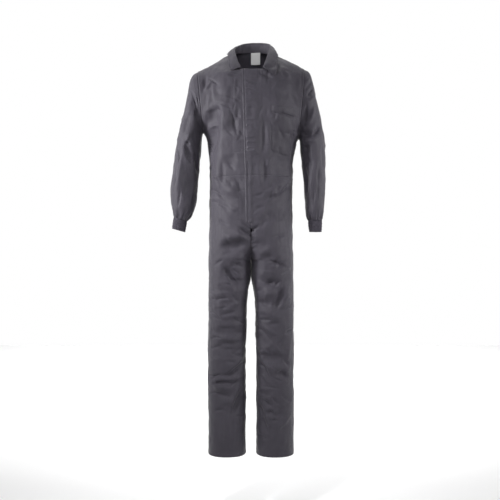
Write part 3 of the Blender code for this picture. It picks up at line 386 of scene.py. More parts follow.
def lower(u, v, side, face):
    """u: 0 at the middle seam or the inseam, 1 at the side seam. v: 0 at the waist, 1 at the hem."""
    u, v = np.broadcast_arrays(np.asarray(u, float), np.asarray(v, float))
    row = v * LOWER_ROWS
    hip = np.clip(row / HIP_ROWS, 0.0, 1.0)
    turn = np.clip((row - HIP_ROWS) / RISE_ROWS, 0.0, 1.0)
    leg = np.clip((row - HIP_ROWS - RISE_ROWS) / LEG_ROWS, 0.0, 1.0)
    rise_top = RISE_TOP_Z[face]
    above = WAIST_Z + (rise_top - WAIST_Z) * hip + (HEM_Z - CROTCH_Z) * leg
    at_middle = above + (CROTCH_Z - rise_top) * (1.0 - (1.0 - turn) ** 2)
    at_side = above + (CROTCH_Z - rise_top) * turn
    z = at_middle + (at_side - at_middle) * ease(u * 1.4)
    start = -rise(at_middle, face)
    place = start + (1.0 - start) * u  # -1 at the inseam, 0 at the deepest point, 1 at the side seam
    across, depth = quarter(np.abs(place))
    outer = smooth(LOWER["z"], LOWER["outer"], z)
    cut, _ = quarter(rise(z, face))
    inner = np.where(z > CROTCH_Z, outer * (cut - 1.0) / (1.0 + cut), smooth(INSEAM["z"], INSEAM["inner"], z))
    middle, half = (outer + inner) / 2.0, (outer - inner) / 2.0
    toward = -1.0 if face == "front" else 1.0
    reach = smooth(LOWER["z"], LOWER[face], z)
    return stack(side * (middle + half * np.sign(place) * across), toward * reach * depth, z)


def tube(turn, v, side, table, steps):
    """turn: 0 over the arm, then round the front, the underside and the back. v: 0 to 1 along the arm."""
    turn, v = np.broadcast_arrays(np.asarray(turn, float), np.asarray(v, float))
    at = {name: smooth(steps, values, v) for name, values in table.items()}
    under, over = (stack(at[end + "_x"], 0.0, at[end + "_z"]) for end in ("under", "over"))
    angle = 2.0 * math.pi * turn
    level = stack(0.0, at["back"] - at["half_depth"] * np.sin(angle), 0.0)
    point = (over + under) / 2.0 + (over - under) / 2.0 * np.cos(angle)[..., None] + level
    return point * np.array([side, 1.0, 1.0])


def sleeve(turn, v, side):
    return tube(turn, v, side, {**SLEEVE[side], **SLEEVE_DEPTH}, ALONG_SLEEVE)


def cuff(turn, v, side):
    return tube(turn, v, side, {**CUFF[side], **CUFF_DEPTH}, (0.0, 0.5, 1.0))


def normals(surface, u, v, outward):
    """Unit normals of a surface. outward is +1 or -1, whichever makes them point out of the suit."""
    along_u = surface(u + SLOPE_STEP, v) - surface(u - SLOPE_STEP, v)
    along_v = surface(u, v + SLOPE_STEP) - surface(u, v - SLOPE_STEP)
    return unit(np.cross(along_u, along_v)) * outward


def fold_depth(point, normal):
    """How deep the folds are at a point of the suit."""
    total = np.zeros(point.shape[:-1])
    facing = ease((np.abs(normal[..., 1]) - 0.12) / 0.45)
    for table, toward in ((FRONT_FOLDS, -1.0), (BACK_FOLDS, 1.0)):
        depth = np.zeros_like(total)
        for x0, z0, x1, z1, width, deepest in table:
            start = np.array([x0, z0])
            run = np.array([x1, z1]) - start
            offset = point[..., [0, 2]] - start
            length = np.linalg.norm(run)
            along = (offset @ run) / length**2
            aside = (offset[..., 0] * run[1] - offset[..., 1] * run[0]) / length
            ends = ease(along / 0.35) * ease((1.0 - along) / 0.35)
            near = (aside / (width * (1.0 + 0.35 * along))) ** 2
            depth += deepest * ends * np.exp(-near) * (1.0 - 0.45 * near)
        total += np.where(normal[..., 1] * toward > 0, depth, 0.0)
    return total * facing


def folded(surface, outward, calm):
    """The surface with its folds in. calm(u, v) is 0 where the cloth is held flat and 1 where it is free."""

    def cloth(u, v):
        point = surface(u, v)
        normal = normals(surface, u, v, outward)
        push = normal * stack(1.0, 1.0, ease((point[..., 2] + 0.16) / 0.08))
        return point - unit(push) * (fold_depth(point, normal) * calm(u, v))[..., None]

    return cloth


def bodice_cloth(side, face):
    def calm(u, v):
        return 1.0 - ease((v - ARMPIT_V + 0.1) / 0.1) * ease((u - 0.80) / 0.20)

    outward = side if face == "front" else -side
    return folded(lambda u, v: bodice(u, v, side, face), outward, calm), outward


def lower_cloth(side, face):
    outward = -side if face == "front" else side
    return folded(lambda u, v: lower(u, v, side, face), outward, lambda u, v: np.ones_like(u + v)), outward


def sleeve_cloth(side):
    def surface(turn, v):
        return sleeve(turn, v, side)

    cloth = folded(surface, side, lambda _, v: ease(v / 0.08))

    def gathered(turn, v):
        point = cloth(turn, v)
        pleat = np.cos(2.0 * math.pi * SLEEVE_GATHERS * turn + 0.7 * side)
        reach = ease((v - (1.0 - GATHER_REACH)) / GATHER_REACH) * ease((1.02 - v) / 0.04)
        return point - normals(surface, turn, v, side) * (GATHER_DEPTH * pleat * reach)[..., None]

    return gathered, side


def find(surface, x, z, u, v):
    """The u and v of a front surface at which it has the given x and z, searched from a first guess."""
    for _ in range(SEARCH["rounds"]):
        here = surface(u, v)
        by_u = (surface(u + SLOPE_STEP, v) - here) / SLOPE_STEP
        by_v = (surface(u, v + SLOPE_STEP) - here) / SLOPE_STEP
        miss_x, miss_z = x - here[..., 0], z - here[..., 2]
        area = by_u[..., 0] * by_v[..., 2] - by_u[..., 2] * by_v[..., 0]
        more_u = miss_x * by_v[..., 2] - miss_z * by_v[..., 0]
        more_v = by_u[..., 0] * miss_z - by_u[..., 2] * miss_x
        u = np.clip(u + SEARCH["share"] * more_u / area, 0.0, SEARCH["last"])
        v = np.clip(v + SEARCH["share"] * more_v / area, 0.0, SEARCH["last"])
    return u, v


# ---- finer cloth: grids, waves, creases and seams ------------------------------------------------
CLOTH, KNIT, COLLAR_CLOTH, LABEL_CLOTH = 0.0012, 0.0014, 0.0019, 0.0006  # thickness shown
BODICE_STEP = {"front": 0.0024, "back": 0.0042}  # about the size of a square of the grids
LEG_STEP = {"front": 0.0029, "back": 0.0046}
SLEEVE_STEP = 0.0030
RIBS, RIB_POINTS, RIB_DEPTH = 58, 4, 0.0007  # of the cuffs' knit
EDGE_STEPS = (0.0, 0.0008, 0.0018, 0.0030, 0.0044, 0.0060, 0.0078, 0.0098)  # rows of the grids beside a seam
SEAM = {"groove": 0.0010, "groove_width": 0.0013, "felled": 0.0006, "felled_width": 0.0085}
STITCH = {"pitch": 0.0034, "length": 0.0024, "radius": 0.00042}
FELLED = (0.0022, 0.0082)  # the two rows of stitches beside a seam
COLLAR_SEWN = 0.0055  # its row of stitches, from the edge
POCKET_SEWN, POCKET_HEM = (0.0030, 0.0082), 0.031  # stitches from the pocket's edges and below its top
HEM_TURN, HEM_GAP = 0.014, 0.0016  # depth of the turned hem, and between its layers
CUFF_TURN = 0.0022  # between the layers of a cuff at the wrist
MIDDLE_GAP = 0.00025  # between the middle plane and an edge along it
SHUT = {"z": -0.905, "fade": 0.042, "reach": 0.055, "gap": 0.0007}  # inner seams that touch below the crotch

# Creases seen from the front, in tenths of a millimetre: start, end, how far the middle bows, the widths of
# the side above or to the left and of the other side, and the depth (a channel > 0, a ridge < 0)
FRONT_CREASES = metres((
    (-1231, -1937, -1593, -4422, 45, 508, 181, 181), (-1823, -2417, -1190, -2304, -38, 169, 113, -61),
    (-1448, -1044, -1245, -2490, -45, 90, 339, -54), (-1715, -897, -1919, -1846, 38, 124, 90, 82),
    (-1344, -1073, -1932, -1728, 19, 90, 79, -47), (-940, -1065, -284, -911, 11, 56, 113, 56),
    (249, -931, 881, -1202, 8, 62, 113, 62), (871, -1184, 1079, -506, 8, 56, 90, 56),
    (-207, -1334, 471, -1334, 8, 45, 56, 41), (-702, -1338, -861, -2423, 23, 136, 169, 37),
    (-482, -1052, -572, -1956, 15, 90, 102, 24), (-1531, -1556, -1689, -2280, 23, 102, 102, -41),
    (-1685, -1677, -1798, -2310, 15, 79, 68, 31), (-1107, -1368, -926, -2091, 38, 169, 226, -27),
    (-836, -2313, -520, -3443, 30, 79, 124, 79), (-617, -2026, -355, -2089, 8, 56, 56, 19),
    (-625, -2624, -354, -2741, -11, 56, 56, 21), (-582, -3236, -378, -3010, 8, 51, 51, 17),
    (-540, -3635, -382, -3364, 8, 51, 51, 17), (-621, -1568, -395, -1703, 11, 56, 56, 15),
    (-913, -4315, -574, -4699, -30, 68, 102, 34), (-1307, -4023, -1216, -5424, 23, 124, 147, -61),
    (-1117, -4200, -1049, -5285, 11, 102, 102, 31), (459, -2389, 377, -4422, 19, 102, 136, 44),
    (618, -2739, 663, -4185, 19, 181, 169, -102), (606, -2377, 561, -2739, 8, 68, 68, 24),
    (926, -2432, 885, -2816, 8, 79, 79, 30), (774, -2490, 751, -2852, 8, 68, 56, -15),
    (1841, -1014, 1895, -1918, 19, 124, 90, -54), (1440, -1677, 1779, -2310, 30, 147, 90, 34),
    (1239, -828, 1510, -1257, 19, 102, 102, -30), (1017, -645, 1469, -781, 19, 79, 90, -22),
    (1111, -813, 1337, -1197, 19, 90, 90, 22), (911, -2468, 1869, -2649, 23, 68, 79, 41),
    (1092, -3018, 1544, -3831, 38, 169, 169, -34), (911, -2871, 1273, -3639, 23, 90, 90, 24),
    (1634, -4724, 550, -5853, 45, 339, 169, -102), (1595, -5130, 759, -5899, 30, 169, 169, 54),
    (1062, -4370, 1424, -4776, 15, 113, 136, 34), (258, -4193, 326, -5368, 15, 124, 147, -54),
    (469, -4076, 491, -5296, 15, 113, 113, 48), (723, -4185, 633, -5451, 15, 158, 158, -41),
    (-1610, -5170, -367, -6368, 45, 282, 90, -54), (-1454, -5624, -731, -6347, 30, 147, 147, 54),
    (-1576, -5253, -966, -5682, 23, 56, 90, 56), (-908, -5123, -410, -5982, 30, 169, 136, -54),
    (-667, -4840, -350, -5473, 15, 79, 90, 34), (-1548, -4630, -1051, -5081, 23, 102, 124, -34),
    (996, -5648, 115, -6078, 30, 169, 102, -61), (859, -6241, 45, -6784, 38, 203, 90, -54),
    (527, -5835, 75, -6287, 19, 90, 102, 41), (1273, -5963, 911, -6686, 23, 147, 124, -41),
    (-478, -6486, 290, -7254, 30, 62, 85, 62), (-584, -6737, 94, -7211, 23, 62, 79, 62),
    (-316, -6599, 316, -6916, -19, 79, 68, -22), (343, -6665, -154, -7094, 23, 68, 79, 68),
    (-655, -6927, -23, -7379, 30, 90, 79, -47), (-79, -7330, 233, -7239, 8, 51, 51, 24),
    (-81, -7479, 254, -7411, 8, 51, 51, 26), (-77, -7631, 212, -7586, 8, 51, 51, 22),
    (-281, -7221, -77, -7311, 8, 51, 51, 21), (-1314, -7605, -4, -7379, 60, 305, 192, 78),
    (-1183, -7260, -98, -7102, 38, 203, 158, -31), (-1100, -7989, -105, -7898, 38, 169, 192, -56),
    (-1134, -8132, -410, -9036, -90, 124, 192, 109), (-972, -8433, -610, -9337, -38, 181, 147, -68),
    (128, -8188, 851, -7511, -56, 169, 169, -48), (196, -7816, 1009, -7996, 38, 147, 169, 48),
    (772, -8068, 1450, -8384, 23, 102, 113, 56), (1360, -7978, 862, -8475, 23, 90, 102, 54),
    (175, -8733, 1237, -8981, 60, 237, 147, 81), (358, -9175, 1036, -9311, 38, 226, 282, -75),
    (117, -9582, 975, -9808, 45, 136, 90, 50), (128, -9887, 851, -10068, 38, 113, 124, -37),
    (1326, -8637, 783, -10263, 45, 136, 113, 88), (1469, -8851, 1017, -10162, 38, 136, 136, -61),
    (-1610, -9571, -1045, -9480, 23, 90, 79, 43), (-1604, -9341, -881, -9296, 30, 113, 124, -37),
    (-1152, -10030, -429, -9623, 23, 102, 90, -30), (-1269, -10184, -501, -9958, 23, 79, 102, 43),
    (-1503, -10401, -192, -10288, 38, 169, 147, 41), (-1505, -10575, -171, -10547, 11, 90, 56, -19),
    (-1503, -10800, -192, -10868, 19, 203, 181, 99), (-1523, -11032, -190, -11114, 15, 68, 113, -22),
    (-1565, -10668, -1316, -10962, 11, 68, 68, 30), (-1567, -11126, -1296, -10900, 11, 68, 68, 26),
    (-1574, -11320, -309, -11478, 38, 169, 147, 54), (-145, -11597, -1117, -12500, 30, 147, 90, -54),
    (-203, -11881, -926, -12536, 23, 102, 102, 68), (-1670, -12459, -382, -12414, 19, 90, 102, 50),
    (-1612, -12681, -798, -12546, 23, 79, 79, -26), (-1529, -12909, -806, -12751, 23, 79, 79, -26),
    (-1616, -12749, -305, -12704, 15, 102, 90, 50), (-1006, -12623, -237, -12510, 15, 90, 90, -30),
    (-1548, -13043, -599, -13314, 23, 79, 90, 43), (-1401, -13352, -407, -13532, 23, 113, 136, -37),
    (-296, -12892, -815, -14067, 45, 147, 113, 102), (-497, -12843, -859, -13702, 30, 124, 102, -61),
    (-262, -13291, -510, -14647, 30, 124, 124, 48), (-936, -13653, -1004, -15189, 15, 124, 124, -41),
    (-691, -13732, -759, -15223, 11, 79, 79, 34), (-507, -13977, -529, -15242, 11, 79, 79, -27),
    (-1239, -13909, -1284, -15084, 11, 136, 136, 27), (141, -10531, 932, -11344, 30, 90, 113, 90),
    (354, -10463, 1077, -10960, 23, 90, 102, -48), (173, -11422, 806, -11350, 15, 79, 68, -22),
    (96, -11621, 1429, -11779, 30, 203, 136, 75), (237, -11939, 1457, -12120, 23, 124, 169, -41),
    (143, -11717, 911, -12983, 30, 90, 124, 90), (363, -12207, 748, -13020, 23, 90, 102, -54),
    (938, -12254, 1435, -12502, 30, 147, 169, 81), (823, -12704, 1569, -12071, 30, 113, 124, -54),
    (141, -12942, 932, -12978, 11, 79, 79, -26), (169, -13112, 847, -13225, 15, 102, 90, 48),
    (437, -13338, 844, -13677, 19, 79, 79, 65), (437, -13787, 1070, -13719, 15, 90, 90, -30),
    (218, -13453, 535, -14222, 19, 90, 102, 75), (371, -13898, 665, -14756, 19, 90, 90, 58),
    (625, -13788, 806, -14602, 19, 124, 124, -48), (1606, -13830, 861, -14598, 30, 136, 113, -61),
    (1273, -13566, 685, -14335, 23, 90, 102, 54), (198, -14707, 763, -14888, 19, 90, 102, 41),
    (1160, -14557, 1250, -15189, 11, 124, 124, -31), (1501, -10806, 1343, -12162, 19, 136, 90, -41),
), TENTHS)
SLEEVE_CREASES = metres((
    (-2354, -1499, -2067, -2303, 23, 34, 57, 52), (-2189, -2284, -2009, -2820, 19, 42, 61, 63),
    (-2082, -1748, -1967, -2284, 11, 34, 42, 52), (-2411, -2360, -2660, -3509, -31, 161, 77, -61),
    (-2258, -1786, -2488, -2705, 19, 84, 100, -54), (-2518, -3528, -2296, -3623, 15, 46, 46, 56),
    (-2495, -3528, -2239, -4427, -61, 84, 130, 122), (-2315, -3202, -2507, -3547, 15, 61, 54, -41),
    (-2181, -3700, -1990, -5001, 19, 100, 84, 82), (-2832, -3509, -2736, -4542, 15, 38, 50, 57),
    (-2851, -4389, -2993, -5652, 15, 38, 50, 57), (-2641, -3853, -2851, -5575, 31, 115, 115, -68),
    (-2411, -4427, -2545, -5958, 23, 115, 122, 61), (-2201, -4695, -2315, -5958, 15, 77, 77, -54),
    (-2679, -5231, -2794, -6073, 15, 61, 61, 41), (2354, -1155, 2009, -1595, 15, 38, 46, 57),
    (2411, -1385, 2105, -1844, 15, 38, 46, 57), (2277, -1021, 2047, -1308, 15, 46, 46, -30),
    (2468, -1672, 2181, -2054, 15, 54, 61, -26), (2430, -2093, 2239, -2858, 23, 77, 92, -54),
    (2124, -2016, 2028, -3011, 15, 61, 61, 54), (1894, -3126, 2296, -3336, 31, 46, 54, 64),
    (2258, -3340, 2679, -2935, 34, 46, 54, 69), (2028, -3528, 2564, -3413, 23, 84, 100, -67),
    (1971, -3585, 2239, -3930, 23, 61, 69, 49), (2277, -3700, 2354, -4389, 19, 77, 84, -54),
    (2047, -4044, 2143, -5920, 23, 84, 84, 68), (2296, -4465, 2239, -5996, 19, 92, 100, -61),
    (2583, -4236, 2507, -5920, 19, 84, 84, 61), (2698, -3547, 2748, -4618, 15, 54, 54, 41),
    (2411, -4925, 2373, -6073, 15, 61, 61, 34),
), TENTHS)
# Lines of stitches seen from the front: panel, then x and z of each point, in metres
FRONT_SEWING = (
    ("front_right", (-0.0648, -0.122), (-0.0670, -0.205), (-0.0690, -0.300), (-0.0693, -0.399)),
    ("front_right", (-0.0405, -0.122), (-0.0410, -0.205), (-0.0395, -0.300), (-0.0360, -0.399)),
    ("front_right", (-0.0700, -0.399), (-0.0280, -0.400)),
    ("leg_front_right", (-0.0441, -0.502), (-0.0422, -0.655)),
    ("leg_front_right", (-0.0335, -0.502), (-0.0316, -0.655)),
    ("leg_front_right", (-0.0425, -0.501), (-0.0200, -0.501)),
    ("leg_front_right", (-0.1092, -0.587), (-0.1070, -0.732)),
    ("leg_front_right", (-0.1200, -0.590), (-0.1185, -0.722)),
    ("leg_front_right", (-0.1322, -0.592), (-0.1312, -0.715)),
    ("leg_front_left", (0.0990, -0.617), (0.1070, -0.753)),
    ("leg_front_left", (0.1090, -0.7570), (0.1530, -0.7590)),
)
SEWN_GROOVE, SEWN_WIDTH = 0.0008, 0.0023  # depth and width of what they draw in
SEWN_STEP = 0.004  # between the points at which they are laid on the cloth


def scattered(seed, count, low, high, slant, reach, width, depth):
    """A table of creases scattered between two corners, all leaning much the same way."""
    rng = np.random.default_rng(seed)
    table = []
    for _ in range(count):
        x, z = rng.uniform(low[0], high[0]), rng.uniform(low[1], high[1])
        angle = rng.normal(slant, 0.38)
        half = rng.uniform(*reach) / 2.0
        across, along = math.cos(angle) * half, math.sin(angle) * half
        spread = rng.uniform(*width)
        sides = spread * rng.uniform(0.6, 1.5, 2)
        push = rng.uniform(*depth) * (2.2 if rng.uniform() < 0.6 else -1.1)
        bow = rng.uniform(-0.25, 0.25) * half
        table.append((x - across, z - along, x + across, z + along, bow, sides[0], sides[1], push))
    return tuple(table)


def patches(*rows):
    """The creases of some patches. Each row is what scattered() takes."""
    return sum((scattered(*row) for row in rows), ())


SMALL_CREASES = patches(
    (51, 11, (-0.15, -0.42), (-0.03, -0.11), -1.1, (0.04, 0.10), (0.005, 0.010), (0.0009, 0.0021)),
    (52, 11, (0.03, -0.45), (0.16, -0.10), 1.1, (0.04, 0.10), (0.005, 0.010), (0.0009, 0.0020)),
    (53, 11, (-0.14, -0.73), (-0.02, -0.50), -0.7, (0.04, 0.09), (0.005, 0.009), (0.0010, 0.0023)),
    (54, 11, (0.02, -0.73), (0.14, -0.50), 0.7, (0.04, 0.09), (0.005, 0.009), (0.0010, 0.0023)),
    (55, 20, (-0.15, -1.12), (-0.03, -0.78), -0.3, (0.04, 0.09), (0.004, 0.008), (0.0010, 0.0022)),
    (56, 20, (0.03, -1.12), (0.15, -0.78), 0.3, (0.04, 0.09), (0.004, 0.008), (0.0010, 0.0022)),
    (57, 20, (-0.15, -1.42), (-0.03, -1.12), 0.2, (0.04, 0.09), (0.004, 0.008), (0.0010, 0.0022)),
    (58, 20, (0.03, -1.42), (0.15, -1.12), -0.5, (0.04, 0.09), (0.004, 0.008), (0.0010, 0.0022)),
)
BACK_CREASES = patches(
    (11, 9, (-0.15, -0.46), (0.15, -0.32), 0.5, (0.05, 0.11), (0.006, 0.012), (0.001, 0.0026)),
    (12, 8, (-0.15, -0.32), (0.15, -0.08), 1.3, (0.06, 0.14), (0.008, 0.014), (0.0008, 0.002)),
    (13, 12, (-0.14, -0.72), (0.14, -0.50), 0.3, (0.04, 0.11), (0.006, 0.012), (0.001, 0.0028)),
    (14, 16, (-0.15, -1.02), (-0.02, -0.76), -0.2, (0.04, 0.10), (0.005, 0.011), (0.001, 0.003)),
    (15, 16, (0.02, -1.02), (0.15, -0.76), 0.2, (0.04, 0.10), (0.005, 0.011), (0.001, 0.003)),
    (16, 18, (-0.15, -1.34), (-0.02, -1.05), 0.1, (0.04, 0.11), (0.005, 0.010), (0.0012, 0.0034)),
    (17, 18, (0.02, -1.34), (0.15, -1.05), -0.1, (0.04, 0.11), (0.005, 0.010), (0.0012, 0.0034)),
    (18, 8, (-0.15, -1.52), (0.15, -1.36), 1.4, (0.05, 0.12), (0.006, 0.012), (0.0006, 0.0016)),
)
SIDE_CREASES = {
    side: patches(
        (20 + side, 9, (-0.06, -0.46), (0.06, -0.34), 0.1, (0.04, 0.09), (0.005, 0.009), (0.001, 0.003)),
        (23 + side, 12, (-0.06, -0.85), (0.06, -0.50), 0.2, (0.04, 0.10), (0.005, 0.010), (0.001, 0.003)),
        (26 + side, 22, (-0.06, -1.36), (0.06, -0.95), 0.0, (0.04, 0.11), (0.005, 0.010), (0.0012, 0.0036)),
        (29 + side, 5, (-0.06, -1.52), (0.06, -1.38), 1.3, (0.05, 0.10), (0.006, 0.010), (0.0006, 0.0016)),
    )
    for side in SIDES
}
INNER_CREASES = {
    side: patches(
        (32 + side, 26, (-0.05, -1.40), (0.05, -0.84), 0.1, (0.04, 0.09), (0.005, 0.009), (0.001, 0.003)),
    )
    for side in SIDES
}
ARM_CREASES = {
    side: patches(
        (35 + side, 14, (-0.20, -0.28), (0.20, -0.10), 0.9, (0.05, 0.11), (0.006, 0.011), (0.001, 0.003)),
        (38 + side, 24, (-0.20, -0.46), (0.20, -0.28), 0.2, (0.04, 0.10), (0.005, 0.010), (0.0014, 0.004)),
        (41 + side, 14, (-0.20, -0.62), (0.20, -0.46), 1.1, (0.05, 0.12), (0.006, 0.011), (0.001, 0.0026)),
    )
    for side in SIDES
}


def waves(points, cell, seed):
    """Smooth random waves between -1 and 1, about one to a cell."""
    rng = np.random.default_rng(seed)
    heights, order = rng.uniform(-1.0, 1.0, 512), rng.permutation(512)
    place = points / np.asarray(cell)
    corner = np.floor(place).astype(int)
    part = place - corner
    part = part * part * (3.0 - 2.0 * part)
    total = np.zeros(points.shape[:-1])
    for x in (0, 1):
        for y in (0, 1):
            for z in (0, 1):
                key = order[(corner[..., 0] + x) & 511]
                key = order[(key + corner[..., 1] + y) & 511]
                key = order[(key + corner[..., 2] + z) & 511]
                share = (
                    (part[..., 0] if x else 1.0 - part[..., 0])
                    * (part[..., 1] if y else 1.0 - part[..., 1])
                    * (part[..., 2] if z else 1.0 - part[..., 2])
                )
                total += share * heights[key]
    return total


def loose(points):
    """The soft unevenness of pressed cloth that has been worn a little, in metres."""
    return (
        0.0012 * waves(points, 0.090, 1)
        + 0.0012 * waves(points, 0.042, 2)
        + 0.00090 * waves(points, 0.020, 3)
        + 0.00080 * waves(points, (0.013, 0.013, 0.060), 4)
        + 0.00035 * waves(points, 0.010, 5)
    )


def creases(x, z, table):
    """Depth of the creases of a table at places on its plan."""
    total = np.zeros(np.broadcast(x, z).shape)
    for x0, z0, x1, z1, bow, upper, lower_side, depth in table:
        run_x, run_z = x1 - x0, z1 - z0
        length = math.hypot(run_x, run_z)
        across, down = run_z / length, -run_x / length  # square to the crease
        if across - down < 0:
            across, down = -across, -down  # towards the right or the lower side
        off_x, off_z = x - x0, z - z0
        along = (off_x * run_x + off_z * run_z) / length**2
        aside = off_x * across + off_z * down - bow * 4.0 * along * (1.0 - along)
        ends = ease(along / 0.42) * ease((1.0 - along) / 0.42)
        slim = 0.5 + 0.5 * ends
        near = (aside / (slim * np.where(aside < 0, upper, lower_side))) ** 2
        total += depth * ends * np.exp(-near) * (1.0 - 0.3 * near)
    return total


def sewn(x, z, panel):
    """Depth of the grooves that lines of stitches draw in a panel, with small puckers along them."""
    total = np.zeros(np.broadcast(x, z).shape)
    for name, *line in FRONT_SEWING:
        if name != panel:
            continue
        nearest = np.full(total.shape, 1.0)
        for (x0, z0), (x1, z1) in zip(line, line[1:]):
            run_x, run_z = x1 - x0, z1 - z0
            along = np.clip(((x - x0) * run_x + (z - z0) * run_z) / (run_x**2 + run_z**2), 0.0, 1.0)
            nearest = np.minimum(nearest, np.hypot(x - x0 - along * run_x, z - z0 - along * run_z))
        beside = bell(nearest, 3.2 * SEWN_WIDTH)
        pucker = 0.00035 * np.sin(x * 620.0 + 1.3) * np.sin(z * 560.0) * beside
        total += SEWN_GROOVE * bell(nearest, SEWN_WIDTH) + pucker
    return total


def spread(length, step, *breaks):
    """Places from 0 to 1 along a piece of that length, close together beside its seams."""
    ends = np.array(EDGE_STEPS) / length
    low, high = ends, 1.0 - ends[::-1]
    marks = [low[-1], *(b for b in breaks if low[-1] < b < high[0]), high[0]]
    counts = [max(2, round((b - a) * length / step)) for a, b in zip(marks, marks[1:])]
    inner = [np.linspace(a, b, n + 1)[:-1] for a, b, n in zip(marks, marks[1:], counts)]
    return np.concatenate([low[:-1], *inner, high])


def distances(points):
    """How far each point of a grid is along the cloth from its four edges."""
    found = {}
    for name, axis in (("u", 1), ("v", 0)):
        step = np.linalg.norm(np.diff(points, axis=axis), axis=-1)
        run = np.cumsum(step, axis=axis)
        pad = [(0, 0), (0, 0)]
        pad[axis] = (1, 0)
        run = np.pad(run, pad)
        total = run.take([-1], axis=axis)
        found["first_" + name], found["last_" + name] = run, total - run
    return found


def seam(distance, felled):
    """Height of cloth at a distance from its seam. The felled side lies on the allowance of both."""
    groove = SEAM["groove"] * bell(distance, SEAM["groove_width"])
    inside = ease(distance / 0.0016) * ease((SEAM["felled_width"] - distance) / 0.0016)
    return (SEAM["felled"] * inside if felled else 0.0) - groove


def facing_out(points, outward, closed=False):
    """Unit normals of a grid, on the side that outward points to."""
    if closed:
        across = np.roll(points, -1, axis=1) - np.roll(points, 1, axis=1)
    else:
        across = np.gradient(points, axis=1)
    normal = unit(np.cross(across, np.gradient(points, axis=0)))
    return normal * np.sign((normal * outward).sum(axis=-1, keepdims=True))


def between(run, places, grid):
    """The points or normals of a line at places along it."""
    return np.stack([np.interp(places, run, column) for column in grid.T], axis=-1)


def along_line(points):
    """How far each point of a line is along it."""
    return np.concatenate([[0.0], np.cumsum(np.linalg.norm(np.diff(points, axis=0), axis=1))])


class Panel:
    """A piece of cloth on a grid, with the surface that it was made from."""

    def __init__(self, surface, us, vs, points, normal):
        self.surface, self.us, self.vs, self.points = surface, us, vs, points
        self.normal = facing_out(points, normal)

    def at(self, u, v):
        """The cloth's point and normal at places between those of its grid."""
        i = np.interp(v, self.vs, np.arange(len(self.vs)))
        j = np.interp(u, self.us, np.arange(len(self.us)))
        i0 = np.clip(i.astype(int), 0, len(self.vs) - 2)
        j0 = np.clip(j.astype(int), 0, len(self.us) - 2)
        s, t = (i - i0)[..., None], (j - j0)[..., None]
        point, normal = (
            (1 - s) * (1 - t) * grid[i0, j0]
            + s * (1 - t) * grid[i0 + 1, j0]
            + (1 - s) * t * grid[i0, j0 + 1]
            + s * t * grid[i0 + 1, j0 + 1]
            for grid in (self.points, self.normal)
        )
        return point, unit(normal)

    def seen_at(self, x, z, u, v):
        """The cloth's point and normal at a place seen from the front."""
        return self.at(*find(self.surface, x, z, u, v))

    def beside(self, edge, distance, low=0.0, high=1.0):
        """A line on the cloth at a distance from one of its edges, from low to high along it."""
        grids, along = (self.points, self.normal), self.vs
        if edge.endswith("v"):
            grids, along = tuple(grid.transpose(1, 0, 2) for grid in grids), self.us
        if edge.startswith("last"):
            grids = tuple(grid[:, ::-1] for grid in grids)
        rows = list(zip(*(grid[(along >= low) & (along <= high)] for grid in grids)))
        runs = [along_line(points) for points, _ in rows]
        line, normal = (
            np.array([between(run, distance, row[which]) for run, row in zip(runs, rows)]) for which in (0, 1)
        )
        return line, unit(normal)


def creases_seen(points, normal, face, name):
    """Depth of the creases on a front or a back, and of the grooves that stitches draw in a front."""
    x, y, z = points[..., 0], normal[..., 1], points[..., 2]
    if face == "back":
        return creases(x, z, BACK_CREASES) * ease((y - 0.10) / 0.45)
    return creases(x, z, FRONT_CREASES + SMALL_CREASES) * front_facing(normal) + sewn(x, z, name)


def front_facing(normal):
    return ease((-normal[..., 1] - 0.05) / 0.40)


def sideways(normal):
    return 1.0 - ease((np.abs(normal[..., 1]) - 0.2) / 0.4)


def grid_of(cloth, outward, us, vs, end=1e-3):
    """A cloth on a grid: places, points, outward normals and the points' distances from its edges."""
    u, v = np.meshgrid(us, vs)
    points = cloth(u, v)
    normal = normals(cloth, np.clip(u, end, 1.0 - end), np.clip(v, 1e-3, 0.999), outward)
    return u, v, points, normal, distances(points)


def clear_of_middle(points, side):
    """Keeps the edge along the middle seam off the middle plane."""
    points[:, 0, 0] = side * np.maximum(side * points[:, 0, 0], MIDDLE_GAP)


def bodice_panel(side, face):
    neck_v = (SIDE_ROWS + (FRONT_NECK_ROW if face == "front" else BACK_NECK_ROW)) / (SIDE_ROWS + ARMHOLE_ROWS)
    us, vs = spread(0.215, BODICE_STEP[face]), spread(0.60, BODICE_STEP[face], ARMPIT_V, neck_v)
    u, v, points, normal, far = grid_of(*bodice_cloth(side, face), us, vs)
    calm = 1.0 - ease((v - ARMPIT_V + 0.05) / 0.05) * ease((u - 0.90) / 0.09)
    toward = -1.0 if face == "front" else 1.0
    depth = 0.5 * creases(toward * far["last_u"], points[..., 2], SIDE_CREASES[side]) * sideways(normal)
    depth = depth + creases_seen(points, normal, face, "front_" + SIDES[side])
    height = (loose(points) - depth) * calm
    height += np.where(v > ARMPIT_V, 1.6 * seam(far["last_u"], True), seam(far["last_u"], face == "back"))
    height += seam(far["first_v"], False) + seam(far["last_v"], face == "back")
    points = points + normal * height[..., None]
    clear_of_middle(points, side)
    return Panel(lambda a, b: bodice(a, b, side, face), us, vs, points, normal)


